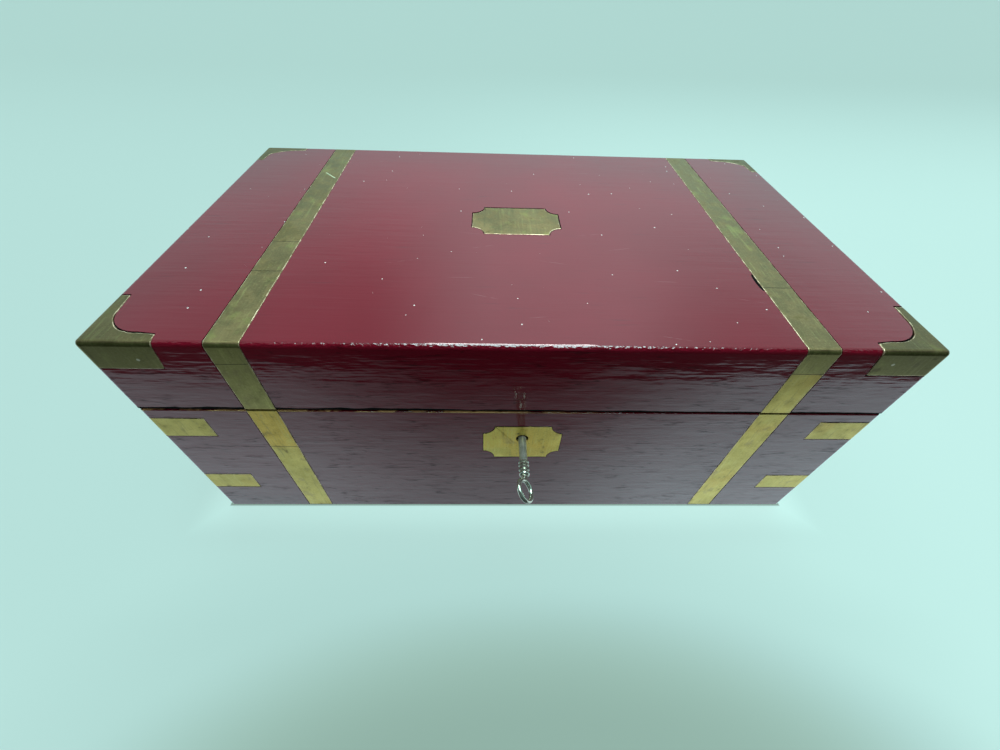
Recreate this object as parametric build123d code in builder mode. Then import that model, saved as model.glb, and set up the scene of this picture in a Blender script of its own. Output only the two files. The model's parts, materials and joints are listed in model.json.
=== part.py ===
"""A brass-bound campaign writing slope: a lidded box that opens flat into a sloping desk.

Millimetres. The origin is the centre of the box's footprint on the table, +X runs along the
box to its right, -Y is the lock side and +Z is up. The box stands closed, with its key in the lock.
"""

import os
from math import atan2, cos, radians, sin, tan

from build123d import *

os.makedirs("parts", exist_ok=True)

# Driving dimensions of the closed box
width = 406.0
depth = 240.0
height = 160.0
rim_front = 112.2
rim_back = 80.0

# Boards
wall = 9.5
top_board = 8.0
bottom_board = 8.0
side_inset = 0.6
edge_radius = 2.6
foot_radius = 1.0
rim_gap = 0.5
rim_round = 0.8

# Let-in brass: straps, the lid's corner caps and the base's corner brackets
brass = 1.2
strap_width = 16.9
strap_x = 139.5
strap_shift = 1.4
foot_clear = 1.0
cap_skirt = 17.0
cap_leg = 6.6
cap_lean = 2.0
cap_ears = {"front": (34.4, 35.5), "back": (33.6, 28.5)}
cap_tip = (0.6, 9.4)
cap_ear_long = 12.4
cap_rise = 1.2
cap_sweep = 5.8
bracket_height = 17.7
bracket_drop = 7.4
bracket_low = 27.0
bracket_arms = {"upper": (31.4, 30.0), "lower": (32.2, 31.0)}

# Blank plates
name_plate_size = (57.8, 36.4)
name_plate_centre = (-0.2, 0.6)
name_plate_notch = 8.0
escutcheon_size = (46.3, 32.2)
escutcheon_z = 82.6
escutcheon_notch = 6.8

# Lock case, face plate on the base's rim and link plate on the lid's
lock_x = 2.9
key_z = 86.5
case_size = (50.0, 7.0, 37.0)
case_wall = 1.2
case_low = 72.8
case_pin = (1.0, 4.2)
bolt_guide = (4.0, 2.0, 3.6)
bolt_guide_x = 19.0
plate_run = (1.8, 9.3)
plate_thick = 1.6
face_plate_long = 66.0
face_screw_x = 29.5
link_plate_long = 50.0
link_screw_x = 20.0
staple_slot = (3.2, 5.4)
staple_x = 12.0
staple_run = 6.1
staple_thick = 2.0
staple_width = 4.2
staple_drop = 9.8
eye_drop = 7.0
eye_size = (2.4, 4.2)

# Sliding bolt
bolt_bar = (95.0, 98.6)
bolt_long = 38.0
bolt_back = 3.0
bolt_upright = 3.0
nose_size = (1.5, 3.2)
nose_long = 5.1
nose_clear = 0.9

# Keyhole and key; places along the key are measured out of the lock from the front face
key_turned = 38.0
keyhole_radius = 3.65
keyhole_slot = (2.8, 8.3)
shank_radius = 2.5
shank_end_radius = 2.25
collars = ((15.6, 16.5), (17.3, 18.5), (19.3, 21.2))
collar_radius = 3.0
collar_bevel = 0.35
groove_radius = 2.3
ball = (21.9, 24.6)
ball_radius = 3.0
neck_radius = 1.8
bow_radius = 5.85
bow_bar = 1.25
bow_out = 33.0
bow_overlap = 0.4
bit_from = 3.2
bit_long = 3.8
bit_reach = 7.6
bit_thick = 2.0
bit_notch = (1.0, 3.0)
pipe_radius = 1.3
pipe_long = 5.0

# Lid hinges
hinge_x = 105.0
hinge_long = 38.0
hinge_back = 0.3
leaf_thick = 1.5
leaf_reach = 9.3
leaf_slack = 0.1
knuckle_radius = 2.4
knuckle_count = 5
knuckle_gap = 0.15
knuckle_clear = 0.3
pin_radius = 1.2
hinge_screw_step = 12.7
hinge_screw_in = 5.6

# Writing flaps
flap_thick = 6.0
flap_sunk = 0.6
flap_ledge = 4.0
flap_end_gap = 0.6
flap_rest_gap = 0.1
flap_pivot_gap = 0.9
base_flap_gap = 1.4
lid_flap_gap = 0.6
leather_thick = 0.8
leather_border = 14.0
flap_pin_radius = 1.5
flap_pin_long = 7.0
flap_pin_short = 0.2

# Pen and ink section
tray_wall = (-66.0, -58.0)
partition_x = 146.0
partition_thick = 4.0
partition_top = 103.5
partition_round = 1.2
partition_ledge = 3.0
well_floor = (58.0, 62.0)
tray_top = 98.0
tray_thick = 18.0
tray_side_gap = 0.4
tray_groove_radius = 19.0
groove_rise = 8.5
groove_long = 244.0

# Ink bottles and their caps
bottle_side = 34.0
bottle_tall = 30.0
bottle_corner = 4.0
bottle_shoulder = 3.0
bottle_floor = 5.0
bottle_roof = 4.0
neck_size = (8.5, 7.0)
neck_bore = 5.0
neck_bore_low = 10.0
ink_radius = 10.0
cap_wall = 2.3
cap_lift = 0.3
cap_top = 2.5
cap_round = 1.2
cap_fit = 0.1

# Flush carrying handles
handle_z = 47.0
handle_plate = (92.0, 42.0)
handle_plate_corner = 8.0
handle_plate_thick = 1.5
handle_screw_at = (39.0, 14.5)
well_size = (64.0, 28.0)
well_corner = 4.0
well_deep = 6.2
well_wall = 1.0
bail_bar = 2.0
bail_half = 26.0
bail_drop = 17.5
bail_pivot_up = 8.6
bail_inset = 2.7
bail_end_gap = 0.3
bail_turns = [2.6, 5.0, 5.0, 2.6]

# Countersunk wood screws, as long as what they hold asks
screw_head = 2.6
screw_shank = 1.3
screw_cone = 1.4
screw_point = 1.5
screw_slot = (0.6, 0.9)
rim_screw_long = 10.5
handle_screw_long = 6.5
fit = 0.05

# The spring catch of the lid's flap
catch_x = -60.0
catch_long = 16.0
catch_tall = 6.0
catch_bulge = 0.4
catch_rise = 0.5

slope = atan2(rim_front - rim_back, depth)
rim = Plane(origin=(0, -depth / 2, rim_front), x_dir=(1, 0, 0), z_dir=(0, sin(slope), cos(slope)))
hinge_run = (depth + hinge_back) / cos(slope)
half_width = width / 2
half_depth = depth / 2
inner_x = half_width - wall
inner_y = half_depth - wall
sides = {"left": -1, "right": 1}
ends = {"front": -1, "back": 1}
corners = [(end, side) for end in ends for side in sides]
standing = (Align.CENTER, Align.CENTER, Align.MIN)
made = {}


def finish(piece, name):
    """Labels a finished piece, writes its file and keeps it for the cuts of its neighbours."""
    piece.part.label = name
    export_step(piece.part, f"parts/{name}.step")
    made[name] = piece.part


def take_out(names):
    """Cuts the pockets of let-in pieces out of the board that is being made."""
    for name in names:
        add(made[name], mode=Mode.SUBTRACT)


def rim_height(y):
    """The height of the sloping split between lid and base at a distance y from the middle."""
    return rim_front - (y + half_depth) * tan(slope)


def run_at(y):
    """How far along the slope from the front face a point at y lies."""
    return (y + half_depth) / cos(slope)


def on_rim(x, run, lift=0.0):
    """A plane parallel to the split, at x, `run` down the slope and `lift` above it."""
    return Plane(origin=rim.from_local_coords((x, run, lift)), x_dir=rim.x_dir, z_dir=rim.z_dir)


def across(x):
    """The upright plane across the box at x: first along the slope, then square to it."""
    return Plane(origin=(x, -half_depth, rim_front), x_dir=rim.y_dir, z_dir=(1, 0, 0))


def rounded_block(inset, side, high):
    """The outside of the closed box, shrunk by inset all round and by side more at its two ends."""
    with BuildPart() as block:
        Box(width - 2 * inset - 2 * side, depth - 2 * inset, high - inset, align=standing)
        fillet(block.edges().filter_by(Axis.Z), edge_radius - inset)
        fillet(block.faces().sort_by(Axis.Z)[-1].edges(), edge_radius - inset)
    return block.part


# The solid lid and the solid base, with the split's edges eased, before they become boards
with BuildPart() as lid_block:
    add(rounded_block(0, 0, height))
    split(bisect_by=rim.offset(rim_gap / 2), keep=Keep.TOP)
    fillet(lid_block.faces().sort_by(Axis.Z)[0].edges(), rim_round)

with BuildPart() as base_block:
    add(rounded_block(0, side_inset, height))
    split(bisect_by=rim.offset(-rim_gap / 2), keep=Keep.BOTTOM)
    fillet(base_block.faces().sort_by(Axis.Z)[-1].edges(), rim_round)
    fillet(base_block.faces().sort_by(Axis.Z)[0].edges(), foot_radius)

# The skins in which the brass lies, as deep as it is thick
with BuildPart() as lid_skin:
    add(lid_block.part)
    add(rounded_block(brass, 0, height), mode=Mode.SUBTRACT)

with BuildPart() as base_skin:
    add(base_block.part)
    add(rounded_block(brass, side_inset, height), mode=Mode.SUBTRACT)

# Straps: one over the lid at each side, and one down the front and the back of the base
for side, x_sign in sides.items():
    with BuildPart() as lid_strap:
        with Locations((strap_shift + x_sign * strap_x, 0, height / 2)):
            Box(strap_width, 2 * depth, 2 * height)
        add(lid_skin.part, mode=Mode.INTERSECT)
    finish(lid_strap, f"lid_strap_{side}")
    for end, y_sign in ends.items():
        with BuildPart() as base_strap:
            with Locations((strap_shift + x_sign * strap_x, y_sign * half_depth, foot_clear)):
                Box(strap_width, depth, height, align=standing)
            add(base_skin.part, mode=Mode.INTERSECT)
        finish(base_strap, f"base_{end}_strap_{side}")

# Corner caps of the lid, each a top leaf with a swept inner edge and two skirts
for end, side in corners:
    x_sign = sides[side]
    y_sign = ends[end]
    ear_x, ear_y = cap_ears[end]
    inner = cap_leg + cap_rise
    swept = cap_leg + cap_sweep

    def from_corner(u, v):
        """A point u in along the box and v in across it from this corner."""
        return (x_sign * (half_width - u), y_sign * (half_depth - v))

    with BuildPart() as cap:
        with BuildSketch(Plane.XY.offset(height - edge_radius)):
            with BuildLine():
                Polyline(
                    from_corner(cap_leg, ear_y),
                    from_corner(-1, ear_y),
                    from_corner(-1, -1),
                    from_corner(ear_x, -1),
                    from_corner(ear_x - cap_tip[0], cap_leg),
                    from_corner(ear_x - cap_tip[1], inner),
                )
                ThreePointArc(
                    from_corner(ear_x - cap_tip[1], inner),
                    from_corner(swept, swept),
                    from_corner(inner, ear_y - cap_ear_long),
                )
                Line(from_corner(inner, ear_y - cap_ear_long), from_corner(cap_leg, ear_y))
            make_face()
        extrude(amount=edge_radius + 1)
        with BuildSketch(Plane.XZ.offset(-y_sign * (half_depth - edge_radius))):
            Polygon(
                (x_sign * (half_width + 1), height + 1),
                (x_sign * (half_width - ear_x), height + 1),
                (x_sign * (half_width - ear_x), height - edge_radius),
                (x_sign * (half_width - ear_x + cap_lean), height - cap_skirt),
                (x_sign * (half_width + 1), height - cap_skirt),
                align=None,
            )
        extrude(amount=-y_sign * (edge_radius + 1))
        with BuildSketch(Plane.YZ.offset(x_sign * (half_width - edge_radius))):
            Polygon(
                (y_sign * (half_depth + 1), height + 1),
                (y_sign * (half_depth - ear_y), height + 1),
                (y_sign * (half_depth - ear_y), height - edge_radius),
                (y_sign * (half_depth - ear_y + cap_lean), height - cap_skirt),
                (y_sign * (half_depth + 1), height - cap_skirt),
                align=None,
            )
        extrude(amount=x_sign * (edge_radius + 1))
        add(lid_skin.part, mode=Mode.INTERSECT)
    finish(cap, f"lid_corner_cap_{end}_{side}")

# Corner brackets of the base, an upper and a lower one bent round each upright edge
for end, side in corners:
    x_sign = sides[side]
    y_sign = ends[end]
    levels = {
        "upper": rim_height(y_sign * half_depth) - bracket_drop - bracket_height,
        "lower": bracket_low,
    }
    with BuildPart() as brackets:
        for level, low in levels.items():
            arm_x, arm_y = bracket_arms[level]
            with Locations((x_sign * half_width, y_sign * half_depth, low)):
                Box(2 * arm_x, 2 * edge_radius, bracket_height, align=standing)
                Box(2 * edge_radius, 2 * arm_y, bracket_height, align=standing)
        add(base_skin.part, mode=Mode.INTERSECT)
    finish(brackets, f"base_corner_brackets_{end}_{side}")


def notched_plate(size, notch):
    """A blank plate's outline inside a sketch: a rectangle with a round bite out of each corner."""
    Rectangle(*size)
    with GridLocations(size[0], size[1], 2, 2):
        Circle(notch, mode=Mode.SUBTRACT)


def keyhole():
    """The keyhole's outline inside a sketch, round above and slotted below."""
    Circle(keyhole_radius)
    with Locations((0, -keyhole_slot[1] / 2)):
        Rectangle(*keyhole_slot)


with BuildPart() as name_plate:
    with BuildSketch(Plane.XY.offset(height - brass)):
        with Locations(name_plate_centre):
            notched_plate(name_plate_size, name_plate_notch)
    extrude(amount=brass)
finish(name_plate, "lid_name_plate")

lock_front = Plane(origin=(lock_x, -half_depth, 0), x_dir=(1, 0, 0), z_dir=(0, -1, 0))

with BuildPart() as escutcheon:
    with BuildSketch(lock_front.offset(-brass)):
        with Locations((0, escutcheon_z)):
            notched_plate(escutcheon_size, escutcheon_notch)
    extrude(amount=brass)
    with BuildSketch(lock_front.offset(-brass)):
        with Locations((0, key_z)):
            keyhole()
    extrude(amount=brass, mode=Mode.SUBTRACT)
finish(escutcheon, "escutcheon")


def screw(plane, long, slack=0.0):
    """A countersunk wood screw, its slotted head level with the plane and its point below it."""
    with BuildPart() as body:
        with BuildSketch(Plane(origin=plane.origin, x_dir=plane.x_dir, z_dir=-plane.y_dir)):
            Polygon(
                (0, 0),
                (screw_head + slack, 0),
                (screw_head + slack, -slack),
                (screw_shank + slack, -screw_cone - slack),
                (screw_shank + slack, screw_point - long),
                (0, -long - slack),
                align=None,
            )
        revolve(axis=Axis(plane.origin, plane.z_dir))
        if slack == 0:
            with Locations(plane):
                Box(2 * screw_head, *screw_slot, mode=Mode.SUBTRACT)
    return body.part


def drill(places, long):
    """Cuts the holes of these screws, a hair wider than the screws, in the piece being made."""
    for place in places:
        add(screw(place, long, fit), mode=Mode.SUBTRACT)


hinge_screw_run = hinge_run - hinge_screw_in
plate_mid_run = sum(plate_run) / 2


def rim_places(lift, facing):
    """Screw places for both hinges' leaves on one rim, heads facing out of that rim."""
    places = []
    for x_sign in sides.values():
        for step in (-1, 0, 1):
            place = on_rim(x_sign * hinge_x + step * hinge_screw_step, hinge_screw_run, lift)
            places.append(Plane(origin=place.origin, x_dir=place.x_dir, z_dir=facing * rim.z_dir))
    return places


base_hinge_places = rim_places(-rim_gap / 2, 1)
lid_hinge_places = rim_places(rim_gap / 2, -1)
face_plate_places = [on_rim(lock_x + s * face_screw_x, plate_mid_run, -rim_gap / 2) for s in (-1, 1)]
link_plate_places = [
    Plane(
        origin=on_rim(lock_x + s * link_screw_x, plate_mid_run, rim_gap / 2).origin,
        x_dir=rim.x_dir,
        z_dir=-rim.z_dir,
    )
    for s in (-1, 1)
]

with BuildPart() as base_screws:
    for place in base_hinge_places + face_plate_places:
        add(screw(place, rim_screw_long))
finish(base_screws, "base_rim_screws")

with BuildPart() as lid_screws:
    for place in lid_hinge_places + link_plate_places:
        add(screw(place, rim_screw_long))
finish(lid_screws, "lid_rim_screws")


def knuckle_spans(x, odd):
    """The stretches of the barrel, from x to x, that belong to one leaf."""
    pitch = hinge_long / knuckle_count
    start = x - hinge_long / 2
    spans = []
    for number in range(knuckle_count):
        if (number % 2 == 1) == odd:
            low = start + number * pitch + (knuckle_gap / 2 if number else 0)
            high = start + (number + 1) * pitch - (knuckle_gap / 2 if number < knuckle_count - 1 else 0)
            spans.append((low, high))
    return spans


def round_along(low, high, run, lift, radius):
    """A round along the box from x = low to x = high, at a place on the slope."""
    with BuildPart() as body:
        with BuildSketch(across(low)):
            with Locations((run, lift)):
                Circle(radius)
        extrude(amount=high - low)
    return body.part


def barrel(low, high, radius):
    """A round along the hinge axis from x = low to x = high."""
    return round_along(low, high, hinge_run, 0, radius)


def hinge_leaf(x, half, own_odd):
    """One leaf of a butt hinge, below the split for half = -1 and above it for half = 1."""
    low_lift = rim_gap / 2 if half > 0 else -rim_gap / 2 - leaf_thick
    with BuildPart() as leaf:
        with BuildSketch(on_rim(x, hinge_run - leaf_reach / 2, low_lift)):
            Rectangle(hinge_long, leaf_reach)
        extrude(amount=leaf_thick)
        for low, high in knuckle_spans(x, not own_odd):
            room = barrel(low - knuckle_gap, high + knuckle_gap, knuckle_radius + knuckle_clear)
            add(room, mode=Mode.SUBTRACT)
        for low, high in knuckle_spans(x, own_odd):
            add(barrel(low, high, knuckle_radius))
        add(barrel(x - hinge_long, x + hinge_long, pin_radius + fit), mode=Mode.SUBTRACT)
        drill(base_hinge_places if half < 0 else lid_hinge_places, rim_screw_long)
    return leaf


for side, x_sign in sides.items():
    finish(hinge_leaf(x_sign * hinge_x, -1, False), f"base_hinge_leaf_{side}")
    finish(hinge_leaf(x_sign * hinge_x, 1, True), f"lid_hinge_leaf_{side}")

with BuildPart() as hinge_pins:
    for x_sign in sides.values():
        middle = x_sign * hinge_x
        add(barrel(middle - hinge_long / 2, middle + hinge_long / 2, pin_radius))
finish(hinge_pins, "hinge_pins")


def hinge_pockets(half):
    """The bed of each leaf and the room for its barrel, to be cut out of a back board."""
    low_lift = rim_gap / 2 if half > 0 else -rim_gap / 2 - leaf_thick
    with BuildPart() as pockets:
        for x_sign in sides.values():
            x = x_sign * hinge_x
            with BuildSketch(on_rim(x, hinge_run - leaf_reach / 2, low_lift)):
                Rectangle(hinge_long + 2 * leaf_slack, leaf_reach)
            extrude(amount=leaf_thick)
            reach = hinge_long / 2 + knuckle_clear
            add(barrel(x - reach, x + reach, knuckle_radius + knuckle_clear))
    return pockets.part


# The box lock: an open-fronted case behind the front board, a face plate let into the rim
# above it, a sliding bolt with two noses, and on the lid a link plate with two staples
case_long, case_deep, case_tall = case_size
case_back = -inner_y
case_front = case_back - case_deep
face_plate_low = -rim_gap / 2 - plate_thick


def staple_plane(sign, lift=0.0):
    """The plane of one staple on the split, at its middle."""
    return on_rim(lock_x + sign * staple_x, staple_run, lift)


with BuildPart() as lock_case:
    with BuildSketch(Plane.XZ.offset(-case_back)):
        with Locations((lock_x, case_low)):
            Rectangle(case_long, case_tall + wall, align=(Align.CENTER, Align.MIN))
    extrude(amount=case_deep)
    with BuildSketch(Plane.XZ.offset(-case_back + case_wall)):
        with Locations((lock_x, case_low + case_wall)):
            Rectangle(case_long - 2 * case_wall, case_tall + 2 * wall, align=(Align.CENTER, Align.MIN))
    extrude(amount=case_deep, mode=Mode.SUBTRACT)
    split(bisect_by=rim.offset(face_plate_low), keep=Keep.BOTTOM)
    with BuildSketch(Plane.XZ.offset(-case_back + case_wall)):
        with Locations((lock_x, key_z)):
            Circle(case_pin[0])
    extrude(amount=case_pin[1])
    with BuildSketch(Plane.XZ.offset(-case_back + case_wall)):
        for sign in (-1, 1):
            with Locations((lock_x + sign * bolt_guide_x, bolt_bar[0] - bolt_guide[1] / 2 - rim_gap / 4)):
                Rectangle(*bolt_guide[:2])
    extrude(amount=bolt_guide[2])
finish(lock_case, "lock_case")

with BuildPart() as face_plate:
    with BuildSketch(on_rim(lock_x, plate_mid_run, face_plate_low)):
        Rectangle(face_plate_long, plate_run[1] - plate_run[0])
    extrude(amount=plate_thick)
    for sign in (-1, 1):
        with BuildSketch(staple_plane(sign, face_plate_low)):
            Rectangle(*staple_slot)
        extrude(amount=plate_thick, mode=Mode.SUBTRACT)
    drill(face_plate_places, rim_screw_long)
finish(face_plate, "lock_face_plate")

with BuildPart() as link_plate:
    with BuildSketch(on_rim(lock_x, plate_mid_run, rim_gap / 2)):
        Rectangle(link_plate_long, plate_run[1] - plate_run[0])
    extrude(amount=plate_thick)
    for sign in (-1, 1):
        with BuildSketch(staple_plane(sign, -staple_drop)):
            Rectangle(staple_thick, staple_width)
        extrude(amount=staple_drop + rim_gap / 2)
    with BuildSketch(across(lock_x - link_plate_long)):
        with Locations((staple_run, -eye_drop)):
            Rectangle(*eye_size)
    extrude(amount=2 * link_plate_long, mode=Mode.SUBTRACT)
    drill(link_plate_places, rim_screw_long)
finish(link_plate, "lock_link_plate")

eye_centre = rim.from_local_coords((lock_x, staple_run, -eye_drop))
nose_y = eye_centre.Y
nose_z = eye_centre.Z
nose_top = nose_z + nose_size[1] / 2
foot_low = bolt_bar[0] + 1

with BuildPart() as lock_bolt:
    with BuildSketch(Plane.XZ.offset(-nose_y - nose_size[0] / 2)):
        with Locations((lock_x - bolt_back, sum(bolt_bar) / 2)):
            Rectangle(bolt_long, bolt_bar[1] - bolt_bar[0])
        for sign in (-1, 1):
            foot = lock_x + sign * staple_x - staple_thick / 2 - nose_clear - nose_long
            Polygon(
                (foot - bolt_upright, foot_low),
                (foot, foot_low),
                (foot, nose_top - nose_size[1]),
                (foot + nose_long, nose_top - nose_size[1]),
                (foot + nose_long, nose_top),
                (foot - bolt_upright, nose_top),
                align=None,
            )
    extrude(amount=nose_size[0])
finish(lock_bolt, "lock_bolt")

# The key: a pipe key with a turned shank and a ring bow, as it stands in the lock
turned = radians(key_turned)
key_plane = Plane(
    origin=(lock_x, -half_depth, key_z),
    x_dir=(0, -1, 0),
    z_dir=(-cos(turned), 0, -sin(turned)),
)
key_tip = case_back - case_wall - rim_gap + half_depth
neck_end = bow_out - bow_radius + bow_overlap
shank_end = collars[0][0]
key_profile = [(-key_tip, 0), (-key_tip, shank_radius), (0, shank_radius), (shank_end, shank_end_radius)]
for collar_from, collar_to in collars:
    key_profile.append((collar_from, groove_radius))
    key_profile.append((collar_from + collar_bevel, collar_radius))
    key_profile.append((collar_to - collar_bevel, collar_radius))
    key_profile.append((collar_to, groove_radius))
key_profile.append((ball[0], groove_radius))

with BuildPart() as key:
    with BuildSketch(key_plane):
        with BuildLine():
            Polyline(*key_profile)
            ThreePointArc(key_profile[-1], (sum(ball) / 2, ball_radius), (ball[1], neck_radius))
            Polyline((ball[1], neck_radius), (neck_end, neck_radius), (neck_end, 0), (-key_tip, 0))
        make_face()
    revolve(axis=Axis(key_plane.origin, key_plane.x_dir))
    with BuildSketch(key_plane.offset(-bit_thick / 2)):
        with Locations((-bit_from - bit_long / 2, -bit_reach / 2)):
            Rectangle(bit_long, bit_reach)
    extrude(amount=bit_thick)
    with BuildSketch(key_plane.offset(-bit_thick)):
        with Locations((-bit_from - bit_long / 2, -bit_reach)):
            Rectangle(*bit_notch)
    extrude(amount=2 * bit_thick, mode=Mode.SUBTRACT)
    with BuildSketch(Plane(origin=key_plane.from_local_coords((-key_tip, 0)), z_dir=(0, -1, 0))):
        Circle(pipe_radius)
    extrude(amount=pipe_long, mode=Mode.SUBTRACT)
    with Locations(Plane(origin=key_plane.from_local_coords((bow_out, 0)), z_dir=key_plane.z_dir)):
        Torus(bow_radius, bow_bar)
finish(key, "key")

# The writing flaps: a board that turns on two pins at its inner end, with a leather panel
pivot_y = inner_y - flap_thick / 2 - flap_pivot_gap
pivot_run = run_at(pivot_y)
flap_top = rim_gap / 2 + flap_sunk
pivot_drop = flap_top + flap_thick / 2
ledge_drop = flap_top + flap_thick + flap_rest_gap
flap_half = inner_x + flap_ledge - flap_end_gap
flap_fronts = {"base": tray_wall[0] + flap_ledge + base_flap_gap, "lid": lid_flap_gap - inner_y}
halves = {"base": -1, "lid": 1}


def leather_panel(half, front_run):
    """The leather of one flap, from its front border to its back border."""
    low = front_run + leather_border
    high = pivot_run - leather_border + flap_thick / 2
    lift = half * (flap_top + leather_thick / 2)
    with BuildPart() as panel:
        with BuildSketch(across(-flap_half + leather_border)):
            with Locations(((low + high) / 2, lift)):
                Rectangle(high - low, leather_thick)
        extrude(amount=2 * (flap_half - leather_border))
    return panel


def pivot_round(middle, long, radius, half):
    """A round on one flap's turning axis, centred at x = middle."""
    return round_along(middle - long / 2, middle + long / 2, pivot_run, half * pivot_drop, radius)


for name, half in halves.items():
    front_run = run_at(flap_fronts[name])
    with BuildPart() as flap:
        with BuildSketch(across(-flap_half)):
            with Locations((front_run, half * pivot_drop)):
                Rectangle(pivot_run - front_run, flap_thick, align=(Align.MIN, Align.CENTER))
        extrude(amount=2 * flap_half)
        add(pivot_round(0, 2 * flap_half, flap_thick / 2, half))
        for x_sign in sides.values():
            hole = pivot_round(x_sign * flap_half, flap_pin_long, flap_pin_radius + fit, half)
            add(hole, mode=Mode.SUBTRACT)
        add(leather_panel(half, front_run).part, mode=Mode.SUBTRACT)
    finish(flap, f"{name}_writing_flap")
    finish(leather_panel(half, front_run), f"{name}_flap_leather")
    with BuildPart() as pins:
        for x_sign in sides.values():
            add(pivot_round(x_sign * flap_half, flap_pin_long - flap_pin_short, flap_pin_radius, half))
    finish(pins, f"{name}_flap_pins")


def flap_seat(half, x_sign, y_from):
    """The ledge that a flap's end lies on, and its pin's hole, to be cut out of a side board."""
    low_run = run_at(y_from)
    x_low = inner_x if x_sign > 0 else -inner_x - flap_ledge
    with BuildPart() as seat:
        with BuildSketch(across(x_low)):
            with Locations((low_run, 0)):
                Rectangle(run_at(inner_y) - low_run, 2 * ledge_drop, align=(Align.MIN, Align.CENTER))
        extrude(amount=flap_ledge)
        add(pivot_round(x_sign * flap_half, flap_pin_long, flap_pin_radius + fit, half))
    return seat.part


# Flush carrying handles on the two ends of the base
def handle_frame(x_sign):
    """The plane of one end of the base at its handle, facing outwards, +Y or -Y to its right."""
    return Plane(
        origin=(x_sign * (half_width - side_inset), 0, handle_z),
        x_dir=(0, x_sign, 0),
        z_dir=(x_sign, 0, 0),
    )


well_outside = (well_size[0] + 2 * well_wall, well_size[1] + 2 * well_wall)


def handle_places(x_sign):
    """The four screw places of one handle plate."""
    frame = handle_frame(x_sign)
    places = []
    for across_sign in (-1, 1):
        for up_sign in (-1, 1):
            spot = frame.from_local_coords(
                (across_sign * handle_screw_at[0], up_sign * handle_screw_at[1], 0)
            )
            places.append(Plane(origin=spot, x_dir=frame.x_dir, z_dir=frame.z_dir))
    return places


def bail_path():
    """The bail's centre line, hanging: pivot pins at the top and the grip at the bottom."""
    end = well_size[0] / 2 + well_wall - bail_end_gap
    return FilletPolyline(
        (-end, bail_pivot_up),
        (-bail_half, bail_pivot_up),
        (-bail_half, bail_pivot_up - bail_drop),
        (bail_half, bail_pivot_up - bail_drop),
        (bail_half, bail_pivot_up),
        (end, bail_pivot_up),
        radius=bail_turns,
    )


for side, x_sign in sides.items():
    frame = handle_frame(x_sign)
    with BuildPart() as plate:
        with BuildSketch(frame.offset(-handle_plate_thick)):
            RectangleRounded(*handle_plate, handle_plate_corner)
        extrude(amount=handle_plate_thick)
        with BuildSketch(frame.offset(-well_deep - well_wall)):
            RectangleRounded(*well_outside, well_corner + well_wall)
        extrude(amount=well_deep)
        with BuildSketch(frame.offset(-well_deep)):
            RectangleRounded(*well_size, well_corner)
        extrude(amount=well_deep, mode=Mode.SUBTRACT)
        pivot_end = frame.from_local_coords((-handle_plate[0], bail_pivot_up, -bail_inset))
        with BuildSketch(Plane(origin=pivot_end, x_dir=frame.y_dir, z_dir=frame.x_dir)):
            Circle(bail_bar + fit)
        extrude(amount=2 * handle_plate[0], mode=Mode.SUBTRACT)
        drill(handle_places(x_sign), handle_screw_long)
    finish(plate, f"handle_plate_{side}")
    with BuildPart() as bail:
        with BuildLine(frame.offset(-bail_inset)):
            bail_line = bail_path()
        with BuildSketch(Plane(origin=bail_line @ 0, z_dir=bail_line % 0)):
            Circle(bail_bar)
        sweep(path=bail_line)
    finish(bail, f"handle_bail_{side}")

with BuildPart() as handle_screws:
    for x_sign in sides.values():
        for place in handle_places(x_sign):
            add(screw(place, handle_screw_long))
finish(handle_screws, "handle_screws")


def handle_pocket(x_sign):
    """The bed of a handle plate and of its well, to be cut out of an end board."""
    frame = handle_frame(x_sign)
    with BuildPart() as pocket:
        with BuildSketch(frame):
            RectangleRounded(*handle_plate, handle_plate_corner)
        extrude(amount=-handle_plate_thick)
        with BuildSketch(frame):
            RectangleRounded(*well_outside, well_corner + well_wall)
        extrude(amount=-well_deep - well_wall)
    return pocket.part


# The boards
def wall_stock(block, first, second, low, high):
    """One wall of a hollow block, mitred at both ends, between its two outer corners in plan."""
    with BuildPart() as stock:
        with BuildSketch(Plane.XY.offset(low)):
            Polygon(
                (first[0] * (half_width + 1), first[1] * (half_depth + 1)),
                (second[0] * (half_width + 1), second[1] * (half_depth + 1)),
                (second[0] * inner_x, second[1] * inner_y),
                (first[0] * inner_x, first[1] * inner_y),
                align=None,
            )
        extrude(amount=high - low)
        add(block.part, mode=Mode.INTERSECT)
    return stock.part


lid_under = height - top_board

with BuildPart() as base_front_board:
    add(wall_stock(base_block, (-1, -1), (1, -1), 0, height))
    take_out([f"base_front_strap_{side}" for side in sides])
    take_out([f"base_corner_brackets_front_{side}" for side in sides])
    with BuildSketch(lock_front.offset(-brass)):
        with Locations((0, escutcheon_z)):
            notched_plate(escutcheon_size, escutcheon_notch)
    extrude(amount=brass, mode=Mode.SUBTRACT)
    with BuildSketch(lock_front):
        with Locations((0, key_z)):
            keyhole()
    extrude(amount=-wall, mode=Mode.SUBTRACT)
    with BuildSketch(Plane.XZ.offset(-case_back)):
        with Locations((lock_x, case_low)):
            Rectangle(case_long, height, align=(Align.CENTER, Align.MIN))
    extrude(amount=case_deep, mode=Mode.SUBTRACT)
    with BuildSketch(on_rim(lock_x, plate_mid_run, face_plate_low)):
        Rectangle(face_plate_long, plate_run[1] - plate_run[0])
    extrude(amount=plate_thick, mode=Mode.SUBTRACT)
    drill(face_plate_places, rim_screw_long)
finish(base_front_board, "base_front_board")

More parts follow.
